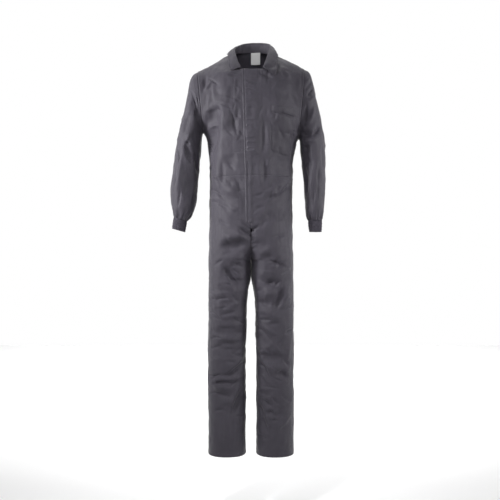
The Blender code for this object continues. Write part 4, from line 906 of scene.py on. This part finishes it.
def lower_panel(side, face):
    us = spread(0.205, LEG_STEP[face])
    vs = spread(1.05, LEG_STEP[face], HIP_ROWS / LOWER_ROWS, CROTCH_V)
    u, v, points, normal, far = grid_of(*lower_cloth(side, face), us, vs)
    toward = -1.0 if face == "front" else 1.0
    outside = sideways(normal) * (u > 0.6)
    inside = sideways(normal) * (u < 0.4) * ease((v - CROTCH_V) / 0.03)
    depth = 0.22 * creases(toward * far["last_u"], points[..., 2], SIDE_CREASES[side]) * outside
    depth = depth + 0.25 * creases(toward * far["first_u"], points[..., 2], INNER_CREASES[side]) * inside
    depth = depth + creases_seen(points, normal, face, "leg_front_" + SIDES[side])
    hem = ease((far["last_v"] - 0.004) / 0.05)
    height = (loose(points) - depth) * (0.35 + 0.65 * hem)
    height += np.where(v > CROTCH_V, seam(far["first_u"], face == "back"), seam(far["first_u"], side > 0))
    height += seam(far["last_u"], face == "back") + seam(far["first_v"], True)
    height += 0.0007 * ease((HEM_TURN + 0.0010 - far["last_v"]) / 0.0018)
    height -= 0.0007 * bell(far["last_v"] - HEM_TURN + FELLED[0], 0.0016)
    points = points + normal * height[..., None]
    # below the crotch the inner seams still touch, behind the fronts of the legs
    high = ease((points[..., 2] - SHUT["z"]) / SHUT["fade"])
    closed = (v > CROTCH_V) * high * (1.0 - ease(far["first_u"] / SHUT["reach"]))
    points[..., 0] += closed * (side * SHUT["gap"] - points[..., 0])
    clear_of_middle(points, side)
    return Panel(lambda a, b: lower(a, b, side, face), us, vs, points, normal)


def turned(panel, depth, gap):
    """The panel's points with its last edge turned in and up by a depth, as a hem is."""
    points, normal = panel.points, panel.normal
    down = unit(points[-1] - points[-3])
    far = distances(points)["last_v"]
    count = int((far[:, far.shape[1] // 2] < depth).sum())
    rim = ((0.25, 0.35), (0.80, 0.20))  # inward and down from the last row, in shares of the gap
    inner = [points[-1] - normal[-1] * gap * inward + down * gap * drop for inward, drop in rim]
    inner += [points[-k] - normal[-k] * gap for k in range(1, count)]
    return np.concatenate([points, np.stack(inner)])


def sleeve_panel(side):
    share = np.concatenate([np.linspace(0.0, 1.0, 68)[:-1], np.linspace(1.0, 2.0, 38)])  # finer in front
    down = math.pi / 2.0 - hole_angle(1.0 - np.minimum(share, 1.0), side)
    up = 1.5 * math.pi + hole_angle(np.maximum(share, 1.0) - 1.0, side)
    us = np.where(share <= 1.0, down, up) / (2.0 * math.pi)
    vs = spread(0.62, SLEEVE_STEP)
    turn, v, points, normal, far = grid_of(*sleeve_cloth(side), us, vs, end=0.0)
    round_it = (far["first_u"] + far["last_u"]).mean()
    arc = ((turn + 0.5) % 1.0 - 0.5) * round_it
    front = front_facing(normal)
    depth = creases(points[..., 0], points[..., 2], SLEEVE_CREASES) * front
    depth = depth + creases(arc, points[..., 2], ARM_CREASES[side]) * (1.0 - front)
    height = (loose(points) - depth) * ease(v / 0.04) * (0.4 + 0.6 * ease((1.0 - v) / 0.10))
    # small uneven pleats where the cuff draws the sleeve in
    swing = 2.0 * math.pi * turn
    pleats = np.sin(13.0 * swing + 1.1 * np.sin(3.0 * swing + side))
    pleats *= 0.7 + 0.3 * np.sin(5.0 * swing + 2.0 * side)
    height += 0.0016 * pleats * ease((v - 0.86) / 0.12) * ease((1.012 - v) / 0.03)
    height += seam(far["first_v"], False) * 1.5
    points = points + normal * height[..., None]
    points[:, -1] = points[:, 0]
    made = Panel(lambda a, b: sleeve(a, b, side), us, vs, points, normal)
    made.normal[:, [0, -1]] = unit(made.normal[:, 0] + made.normal[:, -1])[:, None]
    return made


def cuff_points(side):
    """The knit cuff: a rib to every few millimetres, drawn in at the top and turned at the wrist."""
    columns, rows = RIBS * RIB_POINTS, 19
    turn, v = np.meshgrid(np.arange(columns) / columns, np.linspace(0.0, 1.0, rows))
    points = cuff(turn, v, side)
    normal = normals(lambda a, b: cuff(a, b, side), turn, np.clip(v, 1e-3, 0.999), side)
    rib = np.cos(2.0 * math.pi * RIBS * turn + 0.25 * np.sin(9.0 * v + side))
    soft = 0.0010 * waves(points, 0.020, 7) + 0.0005 * np.sin(v * 26.0 + 3.0 * turn)
    ends = 0.0012 * ease((0.16 - v) / 0.16) + 0.0004 * ease((v - 0.9) / 0.1)
    points = points + normal * (RIB_DEPTH * rib + soft - ends)[..., None]
    down = unit(points[-1] - points[-2])
    rim = ((0.0006, 0.0008), (0.0016, 0.0007), (CUFF_TURN, 0.0))  # inward and down from the last row
    inner = [points[-1] - normal[-1] * inward + down * drop for inward, drop in rim]
    inner += [points[-k] - normal[-k] * CUFF_TURN for k in range(3, rows - 1, 3)]
    return np.concatenate([points, np.stack(inner)])


# ---- what is sewn on: flap, pocket, collar, label ------------------------------------------------
LAYER = WALL + LAYER_GAP
FLAP_STEP_Z = -0.4236
FLAP_TOP_Z, FLAP_END_Z = -0.0835, -0.664
FLAP_BAND_Z = -0.126  # line of stitches across the flap below its top
FLAP_ROW = 0.0021  # height of a row of its grids
FREE_COLUMNS, HELD_COLUMNS = 36, 14  # of the flap's grid, left and right of the first column of the front
# The ridge of the short fly below the flap, with its grooves: x, width, height
FLY_RIDGES = ((-0.0015, 0.0030, 0.0016), (-0.0112, 0.0024, -0.0016), (0.0046, 0.0016, -0.0006))
# Short ridges across the flap, from its stitched edge inwards, in tenths of a millimetre: the height at which
# they start, how far they reach, how far they rise on the way, their width and how tall they are
FLAP_PUCKERS = metres((
    (-1370, 300, 20, 32, 12), (-1460, 380, 40, 30, 14), (-1570, 460, -20, 34, 14),
    (-1680, 280, 10, 30, 10), (-1830, 400, -30, 36, 12), (-2060, 300, 20, 40, 9),
    (-2320, 360, 60, 40, 10), (-2580, 280, -20, 36, 9), (-2790, 420, 40, 36, 12),
    (-3010, 300, 30, 34, 11), (-3220, 400, -40, 36, 13), (-3450, 340, 30, 34, 11),
    (-3620, 440, 20, 34, 13), (-3820, 360, -30, 34, 12), (-3980, 440, 40, 32, 12),
), TENTHS)


def on_the_front(panels, x, z):
    """Points and normals of the fronts and the legs at places seen from the front."""
    points, normal = np.zeros(x.shape + (3,)), np.zeros(x.shape + (3,))
    for side in SIDES:
        for kind in ("front", "leg"):
            mine = ((x >= 0) == (side > 0)) & ((z >= WAIST_Z) == (kind == "front"))
            if not mine.any():
                continue
            mine_x = side * np.maximum(np.abs(x[mine]), 0.0006)
            drop = WAIST_Z - z[mine]
            guess_u = np.abs(mine_x) / 0.22
            guess_v = -1.9 * drop if kind == "front" else drop / (WAIST_Z - RISE_TOP_Z["front"]) * RISE_V
            guess_v = np.clip(guess_v, 0.0, SEARCH["last"])
            points[mine], normal[mine] = panels[kind, side].seen_at(mine_x, z[mine], guess_u, guess_v)
    return points, unit(normal)


def flap_height(x, z, free, held):
    """How far the flap stands above the fronts, at a distance (held) from where it is sewn to them."""
    inside = x - free
    roll = -0.0026 * bell(inside, 0.0030)
    groove = -0.0013 * bell(inside - 0.0078, 0.0020)
    body = 0.0004 + (LAYER + 0.0008) * ease(held / 0.030) - 0.0014 * ease((0.0022 - held) / 0.0022)
    height = roll + groove + body + 0.8 * loose(stack(x, 0.0 * x, z * 1.3)) * ease(held / 0.012)
    for level, reach, climb, width, tall in FLAP_PUCKERS:
        share = (inside - 0.009) / reach
        off = z - level - climb * share - 0.0012 * np.sin(9.0 * share + level * 90.0)
        height += 1.7 * tall * bell(off, width) * ease(share / 0.15) * ease((1.0 - share) / 0.5)
    band = np.abs(z - FLAP_BAND_Z)
    height -= 0.0010 * bell(band, 0.0018) * ease((x + 0.032) / 0.01) * ease((0.036 - x) / 0.01)
    above = ease((z - FLAP_BAND_Z) / 0.01)
    share = np.clip((z - FLAP_BAND_Z) / (FLAP_TOP_Z - FLAP_BAND_Z), 0.0, 1.0)
    height += 0.0012 * above * np.sin(math.pi * share)
    for at in (0.0275, 0.0350):
        height -= 0.0011 * bell(x - at, 0.0017) * above
    end = np.abs(z - (FLAP_STEP_Z + 0.010))
    height -= 0.0012 * bell(end, 0.0019) * ease((x + 0.018) / 0.01)
    low = ease((FLAP_STEP_Z - z) / 0.02)
    for at, width, rise_by in FLY_RIDGES:
        height += low * rise_by * bell(x - at, width)
    return height


def flap_grids(panels):
    """The flap over the closing: wide down to its end, then the narrow overlap down to the rise."""
    grids = []
    free, held_down = ("free_x", "first_x", FREE_COLUMNS), ("first_x", "second_x", HELD_COLUMNS)
    for low, high, parts in (
        (FLAP_STEP_Z, FLAP_TOP_Z, (free, held_down)),
        (FLAP_END_Z, FLAP_STEP_Z, (free,)),
    ):
        z = np.linspace(low, high, round((high - low) / FLAP_ROW) + 1)[:, None]
        columns = []
        for at, (one, other, count) in enumerate(parts):
            first = np.interp(z, FLAP["z"], FLAP[one]) * (-1.0 if one == "free_x" else 1.0)
            last = np.interp(z, FLAP["z"], FLAP[other])
            share = np.linspace(0.0, 1.0, count + 1)[None, at > 0 :]
            columns.append(first + (last - first) * share)
        x = np.concatenate(columns, axis=1)
        z = z + 0.0 * x
        held = x[:, -1:] - x
        if len(parts) > 1:
            fold_x = x[:, [FREE_COLUMNS]]
            held = np.minimum(held, np.hypot(np.maximum(fold_x - x, 0.0), z - FLAP_STEP_Z))
        points, normal = on_the_front(panels, x, z)
        points = points + normal * flap_height(x, z, x[:, :1], held)[..., None]
        grids.append(points)
    grids[1][-1] = grids[0][0, : grids[1].shape[1]]
    return grids


def pocket_panel(panels):
    rows, columns = 88, 46
    across = np.array([0.0, 0.012, 0.03, *np.linspace(0.05, 0.95, columns - 5), 0.97, 0.988, 1.0])[None, :]
    climb = np.array([0.0, 0.006, 0.014, *np.linspace(0.024, 0.976, rows - 5), 0.986, 0.994, 1.0])[:, None]
    sides = {name: smooth(POCKET_ACROSS, values, across) for name, values in POCKET.items()}
    corner = 0.006 * (1.0 - climb / 0.03).clip(0.0, 1.0) * (1.0 - np.sin(math.pi * across)) ** 3
    x = sides["bottom_x"] + (sides["top_x"] - sides["bottom_x"]) * climb
    z = sides["bottom_z"] + (sides["top_z"] - sides["bottom_z"]) * climb + corner
    points, normal = on_the_front(panels, x, z)
    far = distances(points)
    sewn_on = np.minimum(np.minimum(far["first_u"], far["last_u"]), far["first_v"])
    top = far["last_v"]
    height = 0.0018 * ease(sewn_on / 0.030) + 0.0022 * ease((0.05 - top) / 0.05) * ease(sewn_on / 0.02)
    row = POCKET_SEWN[0]
    height -= 0.0009 * bell(sewn_on - row, 0.0016) + 0.0012 * ease((row - sewn_on) / row)
    height -= 0.0014 * bell(top - POCKET_HEM, 0.0022) - 0.0008 * ease((0.029 - top) / 0.004)
    height -= 0.0008 * ease((0.0016 - top) / 0.0016)
    points = points + normal * (LAYER + height)[..., None]
    return Panel(None, across[0], climb[:, 0], points, normal)


def collar_half(side, columns):
    """From the neck seam up to the roll, over it and down to the free edge, on one side."""
    t = np.linspace(0.0, 1.0, columns)
    places = np.linspace(0.0, 1.0, len(COLLAR_NECK) + 1)
    place = smooth(places, (COLLAR_FRONT[side], *COLLAR_NECK), t)
    at = {name: smooth(places, values, t) for name, values in {**COLLAR, **COLLAR_EDGE[side]}.items()}
    neck = stack(*(np.interp(place, range(len(NECK["x"])), NECK[axis]) for axis in "xyz"))
    roll = stack(at["roll_x"], at["roll_y"], at["roll_z"])
    edge = stack(at["x"], at["edge_y"], at["z"])
    outward = unit(roll * np.array([1.0, 1.0, 0.0]) - np.array([0.0, 0.004, 0.0]))
    up = np.array([0.0, 0.0, 1.0])
    foot = neck - up * 0.0040 + outward * 0.0022
    inside = roll - up * ROLL_RADIUS
    top = roll + outward * ROLL_RADIUS
    outside = roll + outward * 2.0 * ROLL_RADIUS - up * ROLL_RADIUS
    rows = [foot, neck + (inside - neck) * 0.5, inside, top, outside]
    for share in (0.25, 0.5, 0.75, 1.0):
        rows.append(outside + (edge - outside) * share + outward * 0.004 * math.sin(math.pi * share))
    coarse = np.stack(rows)
    marks = np.array([0.0, 0.6, 1.2, 1.5, 1.8, 2.7, 3.6, 4.5, 5.4])
    fine = np.concatenate(
        [np.linspace(0.0, 1.2, 10)[:-1], np.linspace(1.2, 1.8, 12)[:-1], np.linspace(1.8, 5.15, 24)[:-1]]
        + [5.4 - np.array([0.25, 0.18, 0.12, 0.07, 0.03, 0.0])]
    )
    points = np.empty((len(fine),) + coarse.shape[1:])
    for j in range(coarse.shape[1]):
        for axis in range(3):
            points[:, j, axis] = smooth(marks, coarse[:, j, axis], fine)
    return points * np.array([side, 1.0, 1.0]), fine


def tree_of(panels):
    """A search tree of the outsides of some panels, with faces that look outwards."""
    verts, faces = [], []
    for panel in panels:
        start = len(verts)
        rows, columns = panel.points.shape[:2]
        verts += (panel.points + panel.normal * CLOTH / 2.0).reshape(-1, 3).tolist()
        a, b = panel.points[1, 1] - panel.points[1, 0], panel.points[2, 1] - panel.points[1, 1]
        flip = np.dot(np.cross(a, b), panel.normal[1, 1]) < 0
        for i in range(rows - 1):
            for j in range(columns - 1):
                at = start + i * columns + j
                face = (at, at + 1, at + columns + 1, at + columns)
                faces.append(face[::-1] if flip else face)
    return BVHTree.FromPolygons(verts, faces)


def pressed_out(points, tree, clearance, first_row):
    """Moves points that lie nearer to the outside of the panels than the clearance away from them."""
    for i in range(first_row, points.shape[0]):
        for j in range(points.shape[1]):
            for _ in range(3):
                place, normal, _, _ = tree.find_nearest(points[i, j].tolist(), 0.02)
                if place is None:
                    break
                height = float(np.dot(points[i, j] - np.array(place), np.array(normal)))
                need = clearance[i, j]
                if height >= need:
                    break
                points[i, j] += np.array(normal) * (need - height)
    return points


def collar_panel(tree):
    (left, fine), (right, _) = (collar_half(side, COLLAR_COLUMNS) for side in SIDES)
    right[:, -1] = left[:, -1]
    points = np.concatenate([right, left[:, -2::-1]], axis=1)
    outward = points * np.array([1.0, 1.0, 0.0]) + np.array([0.0, 0.0, 0.02])
    far = distances(points)
    fall = ease((fine - 1.7) / 0.6)[:, None]
    clearance = (COLLAR_WALL / 2.0 + LAYER_GAP + 0.0042) + 0.0006 * ease(far["last_v"] / 0.02)
    points = pressed_out(points, tree, clearance, int((fine < 1.8).sum()))
    for _ in range(2):
        inner = points[1:-1, 1:-1]
        near = points[:-2, 1:-1] + points[2:, 1:-1] + points[1:-1, :-2] + points[1:-1, 2:]
        inner += 0.25 * (near - 4.0 * inner)
    points = pressed_out(points, tree, clearance, int((fine < 1.8).sum()))
    normal = facing_out(points, outward)
    normal[fine < 1.3] *= np.sign((normal[fine < 1.3] * outward[fine < 1.3]).sum(-1, keepdims=True))
    far = distances(points)
    edge = np.minimum(far["last_v"], np.minimum(far["first_u"], far["last_u"]))
    height = 0.0018 * waves(points, 0.028, 8) + 0.0007 * waves(points, 0.013, 9)
    height -= 0.0015 * bell(edge - COLLAR_SEWN, 0.0017) - 0.0006 * ease((0.0045 - edge) / 0.001)
    height -= 0.0004 * ease((0.0010 - edge) / 0.0010)
    height *= fall
    stand = ease((1.3 - fine) / 0.2)[:, None]
    height += 0.0024 * waves(points, (0.015, 0.015, 0.03), 10) * stand
    points = points + normal * height[..., None]
    return Panel(None, np.linspace(0.0, 1.0, points.shape[1]), fine, points, normal)


def label_points():
    """A strip that hangs inside the back of the neck, with its upper end sewn down."""
    x = np.linspace(LABEL_X[0], LABEL_X[1], 22)[None, :]
    z = np.linspace(LABEL_Z[0], LABEL_Z[1], 28)[:, None]
    depth = smooth(BACK_LINE["z"], BACK_LINE["depth"], z) - NECK_ROUND * x**2
    in_front = WALL / 2.0 + LABEL_WALL / 2.0 + 0.0025
    hang = ease((LABEL_Z[1] - z) / 0.02)
    curl = 0.0009 * hang * (2.0 * (x - LABEL_X[0]) / (LABEL_X[1] - LABEL_X[0]) - 1.0) ** 2
    sewn_down = 0.0004 * bell(LABEL_Z[1] - 0.0022 - z, 0.0009)
    return stack(x + 0.0 * z, depth - in_front - curl + sewn_down, z + 0.0 * x)


# ---- stitches ------------------------------------------------------------------------------------
def add_object(name, data):
    made = bpy.data.objects.new(name, data)
    bpy.context.scene.collection.objects.link(made)
    return made


def stitches(name, lines):
    """Threads along lines on the cloth, each line given by its points and normals."""
    verts, faces = [], []
    for points, normal in lines:
        run = along_line(points)
        count = int(run[-1] / STITCH["pitch"])
        if count < 1:
            continue
        middle = (np.arange(count) + 0.5) * run[-1] / count
        reach = STITCH["length"] / 2.0
        behind, line, ahead = (between(run, middle + off, points) for off in (-reach, 0.0, reach))
        out = unit(between(run, middle, normal))
        across = unit(np.cross(out, ahead - behind)) * STITCH["radius"]
        lift, up = out * (CLOTH / 2.0), out * STITCH["radius"]
        ends = [place + lift - up * 0.5 for place in (behind, ahead)]
        sides = [line + lift - up * 0.3 + way * across for way in (+1, -1)]
        corners = np.stack([ends[0], sides[0], ends[1], sides[1], line + lift + up], axis=1)
        for start in range(len(verts), len(verts) + 5 * count, 5):
            faces += [(start + 4, start + a, start + (a + 1) % 4) for a in range(4)]
            faces.append((start + 3, start + 2, start + 1, start))
        verts += corners.reshape(-1, 3).tolist()
    mesh = bpy.data.meshes.new(name)
    mesh.from_pydata(verts, [], faces)
    mesh.shade_smooth()
    mesh.materials.append(MATERIALS["thread"])
    made = add_object(name, mesh)
    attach(made, "root")


# ---- materials -----------------------------------------------------------------------------------
WEAVE_PITCH = 0.0012


class Nodes:
    """A small helper that adds and joins shader nodes."""

    def __init__(self, name, roughness, sheen, specular):
        self.material = bpy.data.materials.new(name)
        self.material.use_nodes = True
        self.tree = self.material.node_tree
        self.shader = self.tree.nodes["Principled BSDF"]
        self.put("Roughness", roughness)
        self.put("Sheen Weight", sheen)
        self.put("Sheen Roughness", 0.45)
        self.put("Specular IOR Level", specular)
        self.place = self.tree.nodes.new("ShaderNodeTexCoord").outputs["Object"]

    def put(self, socket, value):
        self.shader.inputs[socket].default_value = value

    def add(self, kind, values=(), links=(), **settings):
        node = self.tree.nodes.new(kind)
        for name, value in settings.items():
            setattr(node, name, value)
        for name, value in values:
            node.inputs[name].default_value = value
        for name, source in links:
            self.tree.links.new(source, node.inputs[name])
        return node

    def calculate(self, operation, first, second, **settings):
        """A sum, difference or product of a pattern and of a number or another pattern."""
        given = [(1, second)] if isinstance(second, float) else []
        links = [(0, first)] if given else [(0, first), (1, second)]
        return self.add("ShaderNodeMath", given, links, operation=operation, **settings).outputs[0]

    def scaled(self, scale):
        return self.add("ShaderNodeMapping", [("Scale", scale)], [("Vector", self.place)]).outputs["Vector"]

    def noise(self, scale, detail=2.0, vector=None):
        values = [("Scale", scale), ("Detail", detail), ("Roughness", 0.55)]
        return self.add("ShaderNodeTexNoise", values, [("Vector", vector or self.place)]).outputs["Fac"]

    def twill(self, pitch):
        """Slanting lines of weave, a pitch apart along the sum of the three axes."""
        scale = 2.0 * math.pi / (10.0 * pitch)
        values = [("Scale", scale), ("Distortion", 0.6), ("Detail", 1.0), ("Detail Scale", 1.5)]
        settings = {"wave_type": "BANDS", "bands_direction": "DIAGONAL", "wave_profile": "SIN"}
        return self.add("ShaderNodeTexWave", values, [("Vector", self.place)], **settings).outputs["Fac"]

    def mixed(self, shares):
        """The sum of some patterns, each times its weight, about 0."""
        total = None
        for source, weight in shares:
            off = self.calculate("SUBTRACT", source, 0.5)
            part = self.calculate("MULTIPLY", off, weight)
            total = part if total is None else self.calculate("ADD", total, part)
        return total

    def colour(self, dark, light, pattern):
        share = self.calculate("ADD", pattern, 0.5, use_clamp=True)
        ramp = self.add("ShaderNodeValToRGB", [], [("Fac", share)])
        ramp.color_ramp.elements[0].color = (*dark, 1.0)
        ramp.color_ramp.elements[1].color = (*light, 1.0)
        self.tree.links.new(ramp.outputs["Color"], self.shader.inputs["Base Color"])

    def bump(self, height, strength, distance):
        values = [("Strength", strength), ("Distance", distance)]
        node = self.add("ShaderNodeBump", values, [("Height", height)])
        self.tree.links.new(node.outputs["Normal"], self.shader.inputs["Normal"])


def cloth_material(name, dark, light):
    made = Nodes(name, 0.62, 0.12, 0.34)
    weave = made.twill(WEAVE_PITCH)
    threads = made.noise(1.0, 2.0, made.scaled((900.0, 900.0, 260.0)))
    slubs = made.noise(1.0, 3.0, made.scaled((240.0, 240.0, 22.0)))
    wash = made.noise(9.0, 4.0)
    pattern = made.mixed([(weave, 0.20), (threads, 0.55), (slubs, 0.50), (wash, 0.70)])
    made.colour(dark, light, pattern)
    made.bump(made.mixed([(weave, 1.0), (threads, 0.8), (slubs, 0.4)]), 0.35, 0.0003)
    return made.material


def knit_material():
    made = Nodes("knit", 0.85, 0.15, 0.15)
    yarn = made.noise(1.0, 2.0, made.scaled((700.0, 700.0, 1400.0)))
    loops = made.noise(1.0, 2.0, made.scaled((300.0, 300.0, 520.0)))
    made.colour((0.044, 0.0400, 0.0520), (0.090, 0.0820, 0.105), made.mixed([(yarn, 0.7), (loops, 0.7)]))
    made.bump(made.mixed([(yarn, 0.7), (loops, 1.0)]), 0.5, 0.0005)
    return made.material


def label_material():
    made = Nodes("label", 0.55, 0.10, 0.35)
    weave = made.noise(1.0, 1.0, made.scaled((1500.0, 1500.0, 2600.0)))
    cloud = made.noise(60.0, 2.0)
    made.colour((0.90, 0.90, 0.89), (0.98, 0.98, 0.97), made.mixed([(weave, 0.5), (cloud, 0.6)]))
    made.bump(weave, 0.25, 0.0002)
    return made.material


def thread_material():
    made = Nodes("thread", 0.55, 0.20, 0.40)
    twist = made.noise(1.0, 1.0, made.scaled((1800.0, 1800.0, 1800.0)))
    made.colour((0.060, 0.0550, 0.070), (0.105, 0.0960, 0.121), made.mixed([(twist, 1.2)]))
    made.bump(twist, 0.4, 0.0002)
    return made.material


MATERIALS = {
    "twill": cloth_material("twill", (0.0375, 0.0337, 0.0445), (0.0615, 0.0553, 0.0732)),
    # A darker copy of the twill: cloth cut across the grain, and painted shade on the collar and the chest
    # pocket, which face away from the light
    "twill_across_painted_shade": cloth_material("twill_across_painted_shade", (0.0335, 0.0301, 0.0398), (0.0550, 0.0495, 0.0655)),
    "knit": knit_material(),
    "label": label_material(),
    "thread": thread_material(),
}


def piece(node, grids, thickness=CLOTH, material="twill", closed=False, kind="cloth"):
    """One shown piece of cloth on its grids of points, with its own thickness, in place of a CAD node."""
    mesh = bmesh.new()
    for points in grids:
        rows, columns = points.shape[:2]
        verts = [mesh.verts.new(p) for p in points.reshape(-1, 3)]
        for low in range(0, (rows - 1) * columns, columns):
            for j in range(columns if closed else columns - 1):
                k = (j + 1) % columns
                high = low + columns
                mesh.faces.new((verts[low + j], verts[low + k], verts[high + k], verts[high + j]))
    if len(grids) > 1:
        bmesh.ops.remove_doubles(mesh, verts=mesh.verts, dist=1e-6)
    bmesh.ops.recalc_face_normals(mesh, faces=mesh.faces)
    name = node + "_" + kind
    data = bpy.data.meshes.new(name)
    mesh.to_mesh(data)
    mesh.free()
    data.shade_smooth()
    data.materials.append(MATERIALS[material])
    made = add_object(name, data)
    thicken = made.modifiers.new("thickness", "SOLIDIFY")
    thicken.thickness = thickness
    thicken.offset = 0.0
    thicken.use_even_offset = False
    thicken.use_rim = True
    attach(made, "root")
    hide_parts(node)


def joined_backs(panels):
    """The grids of both halves of the back, which meet in the middle below the neck."""
    backs = [panels["back", side].points for side in SIDES]
    below_neck = panels["back", +1].vs < (SIDE_ROWS + BACK_NECK_ROW + 0.01) / (SIDE_ROWS + ARMHOLE_ROWS)
    middle = (backs[0][below_neck, 0] + backs[1][below_neck, 0]) / 2.0
    middle[:, 0] = 0.0
    for half in backs:
        half[below_neck, 0] = middle
    return backs


panels = {}
for side in SIDES:
    panels["front", side] = bodice_panel(side, "front")
    panels["back", side] = bodice_panel(side, "back")
    panels["leg", side] = lower_panel(side, "front")
    panels["leg_back", side] = lower_panel(side, "back")
    panels["sleeve", side] = sleeve_panel(side)
for side, word in SIDES.items():
    piece("front_" + word, [panels["front", side].points])
    piece("leg_front_" + word, [turned(panels["leg", side], HEM_TURN, HEM_GAP)])
    piece("leg_back_" + word, [turned(panels["leg_back", side], HEM_TURN, HEM_GAP)])
    piece("sleeve_" + word, [panels["sleeve", side].points[:, :-1]], closed=True)
    piece("cuff_" + word, [cuff_points(side)], KNIT, "knit", closed=True, kind="knit")
piece("back", joined_backs(panels))
collar = collar_panel(tree_of([panels[kind, side] for kind in ("front", "back") for side in SIDES]))
# the collar in the darker twill, which paints shade on it
piece("collar", [collar.points], COLLAR_CLOTH, "twill_across_painted_shade")
piece("placket", flap_grids(panels))
pocket = pocket_panel(panels)
# the pocket in the darker twill, which paints shade on it
piece("chest_pocket", [pocket.points], material="twill_across_painted_shade")
piece("neck_label", [label_points()], LABEL_CLOTH, "label")


# ---- the stitched lines --------------------------------------------------------------------------
def sew_side(side, word):
    front, back = panels["front", side], panels["back", side]
    leg, leg_back = panels["leg", side], panels["leg_back", side]
    armhole = [panel.beside("last_u", far, ARMPIT_V + 0.01) for panel in (front, back) for far in FELLED]
    side_seam = [back.beside("last_u", far, 0.0, ARMPIT_V - 0.01) for far in FELLED]
    side_seam += [leg_back.beside("last_u", far) for far in FELLED]
    stitches("armhole_stitches_" + word, armhole)
    stitches("side_seam_stitches_" + word, side_seam)
    stitches("inseam_stitches_" + word, [leg_back.beside("first_u", far, CROTCH_V + 0.01) for far in FELLED])
    for name, edge, far in (("hem", "last_v", HEM_TURN - FELLED[0]), ("waist", "first_v", FELLED[0])):
        stitches(name + "_stitches_" + word, [panel.beside(edge, far) for panel in (leg, leg_back)])
    stitches("shoulder_stitches_" + word, [back.beside("last_v", far) for far in FELLED])


def sewn_line(*line):
    """The points and normals of a line of FRONT_SEWING."""
    at = np.array(line)
    run = along_line(at)
    fine = np.linspace(0.0, run[-1], max(2, round(run[-1] / SEWN_STEP)))
    x, z = between(run, fine, at).T
    return on_the_front(panels, x, z)


for side, word in SIDES.items():
    sew_side(side, word)
rise_lines = [panels["leg_back", +1].beside("first_u", far, 0.0, CROTCH_V - 0.005) for far in FELLED]
rise_lines += [panels["leg", +1].beside("first_u", far, RISE_V + 0.005, CROTCH_V - 0.005) for far in FELLED]
stitches("rise_stitches", rise_lines)
stitches("front_stitches", [sewn_line(*line) for _, *line in FRONT_SEWING])
pocket_lines = [pocket.beside(edge, far) for far in POCKET_SEWN for edge in ("first_u", "last_u", "first_v")]
stitches("pocket_stitches", pocket_lines + [pocket.beside("last_v", POCKET_HEM)])
collar.points = collar.points + collar.normal * (COLLAR_WALL - CLOTH) / 2.0
collar_lines = [collar.beside("last_v", COLLAR_SEWN)]
collar_lines += [collar.beside(edge, COLLAR_SEWN, 1.9, 6.0) for edge in ("first_u", "last_u")]
stitches("collar_stitches", collar_lines)


# ---- floor, light and camera ---------------------------------------------------------------------
FLOOR_Z = -1.78
LIGHTS = (  # name, place, target, size, power in watts and beam in degrees
    ("side_light", (-2.78, -1.01, 0.05), (0.0, 0.0, -0.38), 0.7, 5.6, 38.0),
    ("low_light", (-0.9, -1.7, 1.5), (0.0, 0.0, -1.42), 0.4, 1.6, 36.0),
    ("far_side_light", (2.82, -0.92, 0.0), (0.0, 0.0, -0.6), 0.9, 3.5, 44.0),
    ("neck_light", (0.0, -1.5, 0.9), (0.01, 0.0, 0.0), 0.08, 0.025, 9.0),
    ("back_light", (0.3, 3.0, 0.5), (0.0, 0.0, -0.7), 1.6, 5.5, 56.0),
    ("floor_light", (0.0, 2.4, 3.2), (0.0, 6.5, -1.78), 5.0, 420.0, 160.0),
    ("near_floor_light", (0.0, -3.2, 2.4), (0.0, -8.0, -1.78), 3.0, 100.0, 110.0),
)


def add_floor():
    paint = bpy.data.materials.new("floor")
    paint.use_nodes = True
    shader = paint.node_tree.nodes["Principled BSDF"]
    shader.inputs["Base Color"].default_value = (0.93, 0.93, 0.93, 1.0)
    shader.inputs["Roughness"].default_value = 0.9
    mesh = bpy.data.meshes.new("floor")
    corners = ((-7, -7), (7, -7), (7, 5.5), (-7, 5.5))
    mesh.from_pydata([(x, y, FLOOR_Z) for x, y in corners], [], [(0, 1, 2, 3)])
    mesh.materials.append(paint)
    add_object("floor", mesh)


def add_light(name, place, target, size, power, beam):
    data = bpy.data.lights.new(name, "AREA")
    data.spread = math.radians(beam)
    data.shape, data.size, data.energy = "DISK", size, power
    made = add_object(name, data)
    made.location = place
    made.rotation_mode = "QUATERNION"
    made.rotation_quaternion = (Vector(target) - Vector(place)).to_track_quat("-Z", "Y")


def add_world():
    """White below the height of the floor's far edge, dark grey above."""
    world = bpy.data.worlds.new("studio")
    world.use_nodes = True
    sky = world.node_tree
    way = sky.nodes.new("ShaderNodeTexCoord")
    split = sky.nodes.new("ShaderNodeSeparateXYZ")
    shade = sky.nodes.new("ShaderNodeValToRGB")
    sky.links.new(way.outputs["Generated"], split.inputs["Vector"])
    sky.links.new(split.outputs["Z"], shade.inputs["Fac"])
    sky.links.new(shade.outputs["Color"], sky.nodes["Background"].inputs["Color"])
    for stop, (height, grey) in zip(shade.color_ramp.elements, ((0.31, 1.0), (0.45, 0.07))):
        stop.position, stop.color = height, (grey, grey, grey, 1.0)
    bpy.context.scene.world = world
    bpy.context.scene.view_settings.view_transform = "Standard"


def add_camera():
    camera = add_object("camera", bpy.data.cameras.new("camera"))
    camera.location = (-0.0039, -3.2, -0.768)
    camera.rotation_euler = (math.pi / 2.0, 0.0, 0.0)
    camera.data.lens, camera.data.sensor_width = 59.08, 36.0
    bpy.context.scene.camera = camera


add_floor()
for row in LIGHTS:
    add_light(*row)
add_world()
add_camera()
